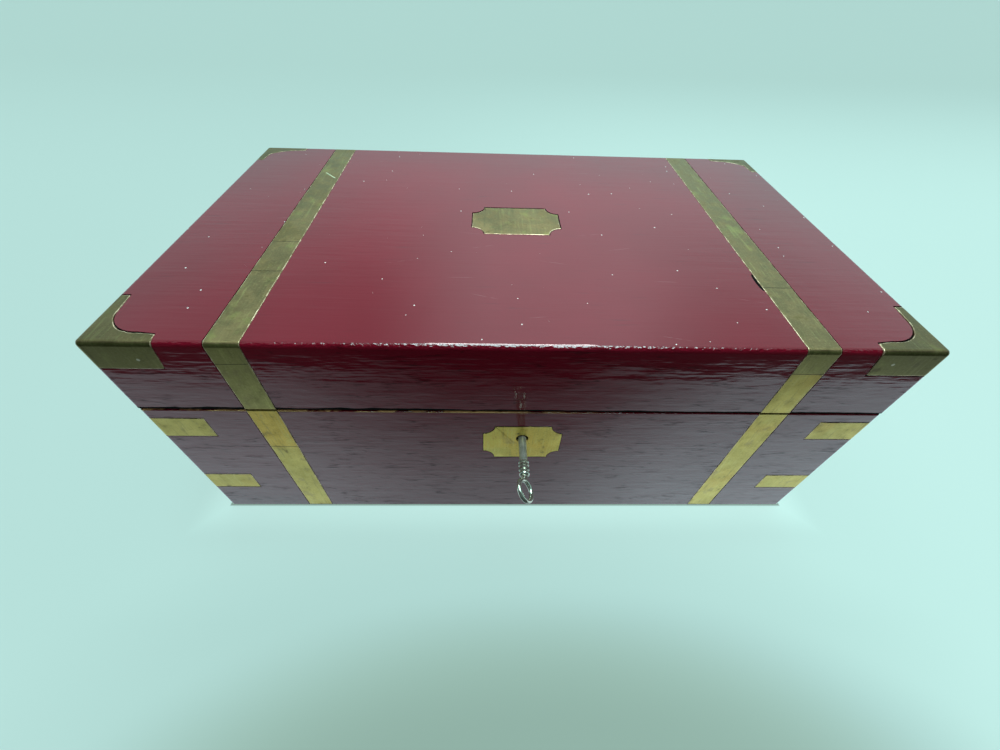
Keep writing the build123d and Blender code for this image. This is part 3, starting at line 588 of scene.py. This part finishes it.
def paint_scratches(graph, place, x, y):
    """Short thin scratches, one in some of the cells, each at its own small tilt."""
    long_cells = graph.scaled(place, (1 / scratch_cell[0], 1 / scratch_cell[1], 1.0))
    cells = graph.node("ShaderNodeTexVoronoi", {"feature": "F1"}, Vector=long_cells, Scale=1.0)
    _, chance, turn = graph.split(cells.outputs["Color"])
    middle_x, middle_y, _ = graph.split(graph.scaled(cells.outputs["Position"], (*scratch_cell, 1.0)))
    run = graph.minus(x, middle_x)
    tilt = graph.times(graph.minus(turn, 0.5), scratch_tilt)
    off = graph.minus(graph.minus(y, middle_y), graph.times(run, tilt))
    thin = graph.near(off, 0.0, *scratch_half_wide)
    short = graph.near(run, 0.0, *scratch_half_long)
    return graph.times(thin, short, graph.above(chance, scratch_cells_bare))


def split_gap_shade_and_wear(graph, place, x, rise):
    """Painted shade for the dark uneven gap over the split, widest at the left, and the lip under it that is
    rubbed bare.
    """
    uneven = graph.noise(place, 60.0, 2, 0.6, 15.0)
    opening = graph.times(graph.ramp(x, *opening_narrows_x, *opening_wide), uneven)
    under_lid = graph.below(graph.minus(rise, opening), opening_least)
    painted_gap_shade = graph.times(under_lid, graph.above(rise, -opening_under_split))
    worn = graph.noise(place, (1 / (16 * mm), 40.0, 500.0), 3, 0.6, 12.0)
    lip = graph.times(
        graph.ramp(rise, *lip_starts_rise),
        graph.below(rise, 0.0),
        graph.ramp(worn, 0.44, 0.54),
        graph.ramp(x, *lip_starts_x),
    )
    return painted_gap_shade, lip


def painted_wood():
    """Old burgundy gloss brushed over mahogany: painted outside, darkened by grime and painted shade in its
    recesses, bare inside.
    """
    made, graph, shader = material(
        "painted_wood", Coat_Roughness=0.05, Coat_IOR=1.7, IOR=1.5, Specular_IOR_Level=0.05
    )
    place, own_normal = graph.place()
    x, y, z = graph.split(place)
    nx, _, nz = graph.split(own_normal)
    on_end = graph.ramp(graph.size(nx), 0.6, 0.8)
    on_top = graph.ramp(nz, 0.93, 0.995)
    off_top = graph.without(on_top)
    on_round = graph.times(graph.ramp(nz, 0.25, 0.60), off_top)
    rise = rise_nodes(graph, y, z)
    depth = depth_nodes(graph, x, y, z, rise)

    # Relief, from slow swells down to the glints along the rounded edge, and the arris at the split
    broad = brush_marks(graph, place, on_end, 60, 6.0, 3, 0.0)
    narrow = brush_marks(graph, place, on_end, 30, 1.7, 2, 3.1)
    fine = brush_marks(graph, place, on_end, 14, 0.6, 1, 7.7)
    brushed = graph.plus(graph.times(broad, 0.9), graph.times(narrow, 0.36), graph.times(fine, 0.05))
    swell = graph.noise(place, (24.0, 24.0, 34.0), 2, 0.5, 1.3)
    dapple = graph.noise(place, waves(16, 16, 6), 2, 0.55, 17.0)
    knots = graph.noise(place, waves(26, 2.4, 2.4), 2, 0.5, 21.0)
    ridge = graph.times(graph.near(knots, 0.5, 0.0, 0.035), graph.ramp(dapple, 0.48, 0.62))
    glint = graph.noise(place, waves(2.2, 1.2, 1.2), 1, 0.5, 23.0)
    arris = graph.ramp(rise, -arris_wide, 0.0, 1.0, 0.0)
    normal = None
    for relief, tall, strength in (
        (swell, 0.50 * mm, graph.blend(on_top, 1.0, 0.28)),
        (dapple, 0.18 * mm, graph.blend(on_top, 1.0, 0.40)),
        (brushed, 0.17 * mm, graph.blend(on_top, 1.0, 0.80)),
        (ridge, 0.34 * mm, graph.blend(on_top, -1.0, -0.15)),
        (glint, 0.50 * mm, on_round),
        (arris, 0.9 * mm, 1.0),
    ):
        normal = graph.bump(relief, tall, strength, normal)

    # Colour: the paint, its dirt and damage, painted shade on its ridges and over the split, then the wood
    # under it, darkened by grime and painted shade in the recesses
    tone = graph.noise(place, 9.0, 3, 0.55, 4.0)
    paint = graph.mix(graph.ramp(tone, 0.3, 0.7), paint_deep, paint_clear)
    paint = graph.tint(paint, narrow, 0.36, 0.24, 0.5, paint_furrow)
    paint = graph.mix(graph.times(paint_specks(graph, place), on_top), paint, paint_speck)
    scratches = graph.times(paint_scratches(graph, place, x, y), on_top, graph.ramp(fine, 0.40, 0.56))
    paint = graph.mix(graph.times(scratches, 0.18), paint, paint_scratch)
    # Painted shade: the ridges' wrinkles are darkened nearly black
    in_ridge = graph.times(off_top, ridge)
    paint = graph.mix(graph.times(in_ridge, 0.5), paint, painted_ridge_shade)
    chip = graph.times(graph.below(graph.oval(x, y, chip_centre, chip_reach), 1.0), on_top)
    paint = graph.mix(chip, paint, gap_shade_and_chip)
    painted_gap_shade, lip = split_gap_shade_and_wear(graph, place, x, rise)
    paint = graph.mix(graph.times(lip, 0.92), paint, lip_tan)
    # The band over the split is painted near black, as painted shade for the gap
    paint = graph.mix(painted_gap_shade, paint, gap_shade_and_chip)

    near_rim = graph.below(graph.size(rise), rim_wide)
    painted = graph.below(depth, graph.blend(near_rim, paint_thick, paint_thick_at_rim))
    # The recess wood is darkened by grime and by painted shade
    grimy_and_shaded = graph.times(graph.below(depth, grime_and_shade_depth), graph.without(near_rim))
    bare, _ = mahogany_colour(graph, place)
    wood = graph.mix(grimy_and_shaded, bare, grime_and_shade)

    # Gloss, but none in the gap, on the bare lip or in the chip, and less on the ridges
    glossy = graph.times(painted, graph.without(graph.most(painted_gap_shade, lip, chip)))
    paint_rough = graph.ramp(tone, 0.3, 0.7, 0.30, 0.40)
    graph.fill(
        shader,
        Base_Color=graph.mix(painted, wood, paint),
        Coat_Weight=graph.times(glossy, graph.without(graph.times(in_ridge, 0.55))),
        Roughness=graph.blend(glossy, 0.75, paint_rough),
        Normal=normal,
        Coat_Normal=normal,
    )
    return made


# Let-in brass: tones from the low bright part to the handled dull one above
brass_bright = ((0.48, 0.37, 0.090), (0.66, 0.51, 0.138))
brass_bright_warm = (0.55, 0.36, 0.075)
brass_golden = (0.72, 0.44, 0.075)
brass_dull = ((0.325, 0.205, 0.092), (0.430, 0.276, 0.127))
brass_dull_warm = (0.40, 0.235, 0.080)
brass_dull_right = (0.34, 0.215, 0.100)
brass_olive = (0.38, 0.315, 0.105)
brass_brushed = ((0.66, 0.56, 0.22), (0.20, 0.16, 0.07))
brass_patches = ((0.56, 0.51, 0.15), (0.26, 0.18, 0.09))
brass_grain = ((0.75, 0.62, 0.30), (0.16, 0.12, 0.05))
brass_stain = (0.22, 0.15, 0.055)
seam_dark = (0.06, 0.045, 0.02)
scratch_bright = (1.0, 0.92, 0.62)
pin_bright = (1.0, 0.90, 0.66)
# Pale tones for the filed edges: rubbed brass, and a painted highlight along them
edge_highlight_tones = ((0.36, 0.24, 0.13), (1.0, 0.74, 0.50))

# Where straps were mended: the strap, the axis that the seam crosses, and its place there
strap_seams = (
    (strap_left_x, "z", 147 * mm),
    (strap_right_x, "z", 144 * mm),
    (strap_left_x, "z", 77 * mm),
    (strap_left_x, "y", -31 * mm),
    (strap_left_x, "y", -62 * mm),
    (strap_right_x, "y", -70 * mm),
)
strap_seam_reach = 12 * mm
seam_half_wide = (0.10 * mm, 0.34 * mm)
seam_waver = 1.6 * mm

# The scratch over the left strap, and the bright heads of two pins in the front caps
scratch_from = Vector((-142 * mm, 70.5 * mm))
scratch_to = Vector((-132 * mm, 60 * mm))
scratch_half = (0.35 * mm, 0.6 * mm)
pin_heads = ((-179.7 * mm, 149.3 * mm), (179.0 * mm, 151.4 * mm))
pin_radius = 0.8 * mm


def brass_tone(graph, place, x, y, z, in_front, cloud):
    """Olive and dull on the lid, where hands rub it, yellower low on the base, golden at the left strap."""
    warm = graph.noise(place, 30.0, 3, 0.55, 11.0)
    clouded = graph.ramp(cloud, 0.3, 0.7)
    bright = graph.mix(clouded, *brass_bright)
    bright = graph.tint(bright, warm, 0.52, 0.68, 0.75, brass_bright_warm)
    golden = graph.times(
        graph.ramp(z, 73 * mm, 80 * mm),
        graph.ramp(x, 0.10, -0.10, 0.10, 0.70),
        graph.ramp(graph.size(x), 0.16, 0.15),
    )
    bright = graph.mix(golden, bright, brass_golden)
    dull = graph.mix(clouded, *brass_dull)
    dull = graph.tint(dull, warm, 0.55, 0.70, 0.6, brass_dull_warm)
    dull = graph.tint(dull, x, 0.0, 0.10, 1.0, brass_dull_right)
    dull = graph.mix(in_front, dull, brass_olive)

    # Below its mend, the right strap's front is as bright as the base's brass
    mended = graph.times(in_front, graph.ramp(x, 0.09, 0.11), graph.ramp(z, 145 * mm, 143 * mm))
    on_lid = graph.ramp(rise_nodes(graph, y, z), -2 * mm, 2 * mm)
    return graph.mix(graph.times(on_lid, graph.without(mended)), bright, dull)


def strap_seam_lines(graph, x, y, z, ny, nz, cloud):
    """Thin uneven lines where the straps were mended."""
    seam = 0.0
    waver = graph.times(graph.minus(cloud, 0.5), seam_waver)
    for strap_x, axis, at in strap_seams:
        off = graph.plus(graph.minus(y if axis == "y" else z, at), waver)
        line = graph.near(off, 0.0, *seam_half_wide)
        facing = graph.above(nz, 0.7) if axis == "y" else graph.below(ny, -0.7)
        on_strap = graph.below(graph.size(graph.minus(x, strap_x)), strap_seam_reach)
        seam = graph.most(seam, graph.times(line, facing, on_strap))
    return seam


def scratch_mark(graph, x, y, nz):
    """A bright scratch over the top of the left strap."""
    run = scratch_to - scratch_from
    way = run.normalized()
    to_x = graph.minus(x, scratch_from.x)
    to_y = graph.minus(y, scratch_from.y)
    along = graph.plus(graph.times(to_x, way.x), graph.times(to_y, way.y))
    off = graph.minus(graph.times(to_x, way.y), graph.times(to_y, way.x))
    beside = graph.near(off, 0.0, *scratch_half)
    within = graph.near(along, run.length / 2, 0.4 * run.length, 0.5 * run.length)
    return graph.times(beside, within, graph.above(nz, 0.9))


def aged_brass(name, gain):
    """Let-in brass with its patina, brushing, stains and marks; gain lightens or darkens it all."""
    made, graph, shader = material(name, Metallic=0.94, Specular_IOR_Level=0.3)
    place, own_normal = graph.place()
    x, y, z = graph.split(place)
    _, ny, nz = graph.split(own_normal)
    in_front = graph.below(ny, -0.7)
    cloud = graph.noise(place, 45.0, 4, 0.6, 2.0)
    stain = graph.noise(place, 160.0, 3, 0.6, 5.0)
    rubbed = graph.noise(place, (700.0, 60.0, 500.0), 2, 0.5, 8.0)
    grain = graph.noise(place, 900.0, 3, 0.7, 13.0)
    brushed = graph.noise(place, (650.0, 45.0, 45.0), 3, 0.6, 19.0)
    patch = graph.noise(place, (95.0, 75.0, 75.0), 3, 0.6, 27.0)
    seam = strap_seam_lines(graph, x, y, z, ny, nz, cloud)

    tone = brass_tone(graph, place, x, y, z, in_front, cloud)
    for marks, (low, high, share), colour in (
        (brushed, (0.54, 0.70, 0.34), brass_brushed[0]),
        (brushed, (0.44, 0.30, 0.38), brass_brushed[1]),
        (patch, (0.54, 0.70, 0.34), brass_patches[0]),
        (patch, (0.44, 0.32, 0.40), brass_patches[1]),
        (grain, (0.50, 0.75, 0.35), brass_grain[0]),
        (grain, (0.46, 0.28, 0.45), brass_grain[1]),
        (stain, (0.60, 0.74, 0.7), brass_stain),
    ):
        tone = graph.tint(tone, marks, low, high, share, colour)
    tone = graph.mix(graph.times(seam, 0.85), tone, seam_dark)
    tone = graph.mix(scratch_mark(graph, x, y, nz), tone, scratch_bright)
    for pin_centre in pin_heads:
        pin = graph.below(graph.oval(x, z, pin_centre, (pin_radius, pin_radius)), 1.0)
        tone = graph.mix(graph.times(pin, in_front), tone, pin_bright)

    relief = graph.plus(graph.times(cloud, 0.8), graph.times(rubbed, 0.1))
    graph.fill(
        shader,
        Base_Color=graph.scaled(tone, gain),
        Roughness=graph.ramp(stain, 0.3, 0.7, 0.32, 0.46),
        Normal=graph.bump(seam, 0.10 * mm, -1.0, graph.bump(relief, 0.14 * mm)),
    )
    return made


def rubbed_and_highlit_brass():
    """Brass at filed edges, kept pale by polishing and made paler as a painted highlight along them."""
    made, graph, shader = material("rubbed_and_highlit_brass", Metallic=0.62)
    place, _ = graph.place()
    worn = graph.noise(place, 220.0, 3, 0.6, 4.0)
    graph.fill(
        shader,
        Base_Color=graph.mix(graph.ramp(worn, 0.42, 0.60), *edge_highlight_tones),
        Roughness=graph.blend(worn, 0.32, 0.46),
    )
    return made


# Steel, polished at the key's bow, duller along its shank and plain beyond the turned rings
steel_tones = ((0.58, 0.55, 0.46), (0.84, 0.79, 0.67))
steel_pit = (0.10, 0.085, 0.07)
key_tip_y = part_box("key")[0].y
key_stands_out = -half_depth - key_tip_y
bow_y = key_tip_y + 0.35 * key_stands_out
shank_y = key_tip_y + 0.60 * key_stands_out
plain_y = key_tip_y + 0.66 * key_stands_out


def worn_steel():
    """Old grey steel: a handled key, its lock, and the screws."""
    made, graph, shader = material("worn_steel")
    place, _ = graph.place()
    _, y, _ = graph.split(place)
    cloud = graph.noise(place, 260.0, 4, 0.6, 1.0)
    pits = graph.noise(place, 1500.0, 2, 0.6, 6.0)
    tone = graph.mix(graph.ramp(cloud, 0.3, 0.7), *steel_tones)
    graph.fill(
        shader,
        Base_Color=graph.tint(tone, pits, 0.64, 0.74, 0.5, steel_pit),
        Metallic=graph.ramp(y, shank_y, plain_y, 0.86, 0.60),
        Roughness=graph.blend(graph.ramp(y, bow_y, shank_y), 0.17, graph.blend(cloud, 0.18, 0.30)),
        Normal=graph.bump(pits, 0.03 * mm),
    )
    return made


# Leather: its tones, and its gilt lines as how far in from the edge and half how wide
skin_tones = ((0.018, 0.052, 0.032), (0.040, 0.092, 0.055))
skin_rubbed = (0.085, 0.105, 0.060)
gilt_tone = (0.60, 0.42, 0.14)
gilt_lines = ((5 * mm, 0.45 * mm), (10 * mm, 0.20 * mm), (6.4 * mm, 0.12 * mm))
gilt_dots = (8.2 * mm, 0.5 * mm)
gilt_dot_step = 3.4 * mm
gilt_edge = 0.12 * mm


def tooled_leather(name, node):
    """Green writing leather with gilt lines and a row of dots round its edge, in its own sloping plane."""
    made, graph, shader = material(name, Coat_Weight=0.12, Coat_Roughness=0.35)
    place, _ = graph.place()
    x, y, z = graph.split(place)
    low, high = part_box(node)
    first = low.y * math.cos(slope) - high.z * math.sin(slope)
    last = high.y * math.cos(slope) - low.z * math.sin(slope)
    along = graph.minus(graph.times(y, math.cos(slope)), graph.times(z, math.sin(slope)))
    up_slope = graph.minus(along, (first + last) / 2)
    in_x = graph.minus(high.x, graph.size(x))
    in_slope = graph.minus((last - first) / 2, graph.size(up_slope))
    margin = graph.math("MINIMUM", in_x, in_slope)

    lines = [graph.near(margin, at, half, half + gilt_edge) for at, half in gilt_lines]
    run = graph.blend(graph.below(in_x, in_slope), x, up_slope)
    ripple = graph.math("SINE", graph.times(run, 2 * math.pi / gilt_dot_step))
    dots_at, dots_half = gilt_dots
    dot_row = graph.near(margin, dots_at, dots_half, dots_half + gilt_edge)
    dots = graph.times(graph.ramp(ripple, 0.55, 0.75), dot_row)
    rub = graph.noise(place, 120.0, 4, 0.65, 3.0)
    gilt = graph.times(graph.most(*lines, dots), graph.ramp(rub, 0.34, 0.5))

    grain = graph.node("ShaderNodeTexVoronoi", {"feature": "DISTANCE_TO_EDGE"}, Vector=place, Scale=900.0)
    cloud = graph.noise(place, 16.0, 4, 0.6, 7.0)
    skin = graph.mix(graph.ramp(cloud, 0.3, 0.72), *skin_tones)
    skin = graph.tint(skin, rub, 0.58, 0.75, 0.5, skin_rubbed)
    creases = graph.bump(graph.ramp(grain.outputs["Distance"], 0.0, 0.25), 0.06 * mm, 0.7)
    graph.fill(
        shader,
        Base_Color=graph.mix(gilt, skin, gilt_tone),
        Metallic=gilt,
        Roughness=graph.ramp(cloud, 0.3, 0.7, 0.45, 0.58),
        Normal=graph.bump(gilt, 0.10 * mm, -0.8, creases),
    )
    return made


# Glass and ink
glass_tones = ((0.84, 0.93, 0.90), (0.93, 0.98, 0.96))
ink_tones = ((0.006, 0.008, 0.020), (0.014, 0.017, 0.038))


def bottle_glass():
    """Thick old glass, a little green, with slow waves."""
    made, graph, shader = material("bottle_glass", IOR=1.5, Transmission_Weight=1.0, Roughness=0.03)
    place, _ = graph.place()
    swell = graph.noise(place, (120.0, 120.0, 90.0), 2, 0.5, 1.0)
    graph.fill(shader, Base_Color=graph.mix(swell, *glass_tones), Normal=graph.bump(swell, 0.10 * mm, 0.5))
    return made


def dried_ink():
    """Blue-black ink, thick with age."""
    made, graph, shader = material("dried_ink", Coat_Weight=0.5, Coat_Roughness=0.08)
    place, _ = graph.place()
    film = graph.noise(place, 300.0, 3, 0.6, 2.0)
    graph.fill(shader, Base_Color=graph.mix(film, *ink_tones), Roughness=graph.blend(film, 0.18, 0.4))
    return made


# Every solid takes the finish of its material slot; each leather panel has its own tooling
brass_material = aged_brass("aged_brass", 1.0)
cap_material = aged_brass("aged_brass_caps", 0.72)
keyhole_material = aged_brass("aged_brass_keyhole", 1.6)
plate_material = aged_brass("aged_brass_name_plate", 0.88)
edge_highlight_material = rubbed_and_highlit_brass()
slot_materials = {
    "painted_wood": painted_wood(),
    "brass": brass_material,
    "steel": worn_steel(),
    "mahogany": mahogany(),
    "leather": None,
    "glass": bottle_glass(),
}
for entry in frame["record"]["subparts"]:
    solid = frame["nodes"][entry["node"]]
    finish = slot_materials[entry["material_slot"]]
    if finish is None:
        finish = tooled_leather(entry["node"] + "_tooled", entry["node"])
    solid.data.materials.clear()
    solid.data.materials.append(finish)


# Let-in brass: each piece's packed form, filed back from its wood by a fine uneven gap
gap_plain = 0.30 * mm
gap_above = 0.42 * mm
gap_uneven = 0.7
gap_waves = (160, 700)
gap_fine_share = 0.4
longest_step = 0.9 * mm
outline_step = 5 * mm
flat_enough = math.radians(0.8)
sharp_rim = math.radians(40)
crisp = math.radians(14)
filed_edge = 0.36 * mm
filed_profile = 0.6
same_place = 1e-6
skin_depth = 0.1 * mm
split_reach = 1.0 * mm
wall_probe = 0.05 * mm
wall_slack = 0.03 * mm
keyhole_reach = 12 * mm

# Pieces that were let in loosely, by how many times the plain gap
gap_wide = {
    "lid_corner_cap_front_right": 2.0,
    "lid_corner_cap_back_left": 1.8,
    "lid_corner_cap_back_right": 1.8,
    "lid_name_plate": 2.0,
}


def is_outside(face):
    """Whether a face is part of the box's outside."""
    return depth_at(face.calc_center_median()) < skin_depth


def is_outline(edge):
    """Whether an edge is where a piece's outside turns into its side."""
    return len(edge.link_faces) == 2 and sum(is_outside(face) for face in edge.link_faces) == 1


def is_wall(face, keyhole):
    """Whether a face is a side that meets the wood, rather than a piece's front, back or hole."""
    middle = face.calc_center_median()
    under = depth_at(middle)
    if under < skin_depth or abs(middle.z - rim_height(middle.y)) < split_reach:
        return False
    if keyhole is not None and (middle - keyhole).length < keyhole_reach:
        return False
    outward = depth_at(middle + wall_probe * face.normal) - under
    return abs(outward) < wall_slack


def gap_for(point, way, wide):
    """How far a wall stands back: furthest along top edges, and never even."""
    even = wide * gap_plain + gap_above * max(way.z, 0) + gap_above * max(way.y, 0)
    slow, fine = [noise.noise(point * waves_per_metre) for waves_per_metre in gap_waves]
    return even * (1 + gap_uneven * slow + gap_fine_share * gap_uneven * fine)


def cut_outline(bm):
    """Cuts long outline edges into short steps, so that the gap can wander."""
    for edge in list(bm.edges):
        if edge.calc_length() >= 1.5 * outline_step and is_outline(edge):
            bmesh.ops.subdivide_edges(bm, edges=[edge], cuts=int(edge.calc_length() / outline_step))


def stand_back(bm, wide, keyhole):
    """Moves the piece's walls back from its wood, each corner by what all its walls ask for."""
    walls = {face: is_wall(face, keyhole) for face in bm.faces}
    moves = {}
    for vert in bm.verts:
        faces = list(vert.link_faces)
        if any(walls[face] for face in faces):
            ways = np.array([tuple(face.normal) for face in faces])
            gaps = [gap_for(vert.co, face.normal, wide) if walls[face] else 0.0 for face in faces]
            step = Vector(np.linalg.lstsq(ways, -np.array(gaps), rcond=0.05)[0].tolist())
            moves[vert] = step * min(1.0, longest_step / max(step.length, 1e-9))
    for vert, step in moves.items():
        vert.co += step


def file_edges(bm, kept_short):
    """Files the outline's edges round; kept_short stops them from running into each other."""
    rims = [edge for edge in bm.edges if is_outline(edge) and edge.calc_face_angle(0) > sharp_rim]
    bmesh.ops.bevel(
        bm,
        geom=rims,
        offset=filed_edge,
        offset_type="OFFSET",
        segments=2,
        profile=filed_profile,
        affect="EDGES",
        material=1,
        clamp_overlap=kept_short,
    )
    bmesh.ops.triangulate(bm, faces=[face for face in bm.faces if len(face.verts) > 4])


def keep_inside(bm, low, high):
    """Keeps every point inside a box."""
    for vert in bm.verts:
        vert.co = Vector([max(least, min(value, most)) for least, value, most in zip(low, vert.co, high)])


def piece_from(bm, name, *finishes):
    """Makes a smooth-shaded object from a form."""
    for face in bm.faces:
        face.smooth = True
    mesh = bpy.data.meshes.new(name)
    bm.to_mesh(mesh)
    bm.free()
    for finish in finishes:
        mesh.materials.append(finish)
    piece = bpy.data.objects.new(name, mesh)
    bpy.context.scene.collection.objects.link(piece)
    return piece


def let_in(node, finish, keyhole=None, kept_short=False):
    """Replaces a brass node by its own form with filed edges and a dark gap round it."""
    bm = bmesh.new()
    bm.from_mesh(frame["nodes"][node].data)
    bmesh.ops.remove_doubles(bm, verts=bm.verts, dist=same_place)
    bmesh.ops.dissolve_limit(bm, angle_limit=flat_enough, verts=bm.verts, edges=bm.edges)
    bm.normal_update()
    cut_outline(bm)
    bm.normal_update()
    stand_back(bm, gap_wide.get(node, 1.0), keyhole)
    bm.normal_update()
    file_edges(bm, kept_short)
    keep_inside(bm, *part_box(node))
    for edge in bm.edges:
        edge.smooth = edge.calc_face_angle(0) < crisp
    piece = piece_from(bm, node + "_filed", finish, edge_highlight_material)
    even = piece.modifiers.new("even_shading", "WEIGHTED_NORMAL")
    even.keep_sharp = True
    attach(piece, node_body[node])
    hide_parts(node)


escutcheon_low, escutcheon_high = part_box("escutcheon")
for node in node_body:
    if "lid_corner" in node:
        let_in(node, cap_material)
    elif "strap" in node or "corner" in node:
        let_in(node, brass_material)
let_in("lid_name_plate", plate_material)
let_in("escutcheon", keyhole_material, keyhole=(escutcheon_low + escutcheon_high) / 2, kept_short=True)


# Ink in the two bottles
ink_radius = 9.9 * mm
ink_low = 5.1 * mm
ink_tall = 15 * mm
ink_meniscus = 0.9 * mm
ink_meniscus_wide = 0.45
ink_round = 1.6 * mm
ink_sides = 48
ink_curve_steps = 4


def ink_profile():
    """Half the ink's outline, as radius and height: a round foot, a side, and an edge drawn up the glass."""
    profile = [(0.0, 0.0), (ink_radius - ink_round, 0.0)]
    for step in range(1, ink_curve_steps + 1):
        angle = step / ink_curve_steps * math.pi / 2
        profile.append((ink_radius - ink_round * (1 - math.sin(angle)), ink_round * (1 - math.cos(angle))))
    profile.append((ink_radius, ink_tall))
    for step in range(1, ink_curve_steps + 1):
        share = step / ink_curve_steps
        fallen = ink_meniscus * (1 - (1 - share) ** 2)
        profile.append((ink_radius * (1 - ink_meniscus_wide * share), ink_tall - fallen))
    profile.append((0.0, ink_tall - ink_meniscus))
    return profile


def ink_fill(side):
    """The ink in one bottle, turned from its profile."""
    low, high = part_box("ink_bottle_" + side)
    centre = (low + high) / 2
    bm = bmesh.new()
    line = [bm.verts.new((radius, 0, low.z + ink_low + rise)) for radius, rise in ink_profile()]
    for verts in zip(line, line[1:]):
        bm.edges.new(verts)
    bmesh.ops.spin(
        bm,
        geom=bm.verts[:] + bm.edges[:],
        cent=(0, 0, 0),
        axis=(0, 0, 1),
        angle=2 * math.pi,
        steps=ink_sides,
        use_merge=True,
    )
    bmesh.ops.remove_doubles(bm, verts=bm.verts, dist=same_place)
    bmesh.ops.recalc_face_normals(bm, faces=bm.faces)
    bmesh.ops.translate(bm, verts=bm.verts, vec=(centre.x, centre.y, 0))
    piece = piece_from(bm, "ink_" + side, ink_material)
    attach(piece, "base")


ink_material = dried_ink()
for side in ("left", "right"):
    ink_fill(side)
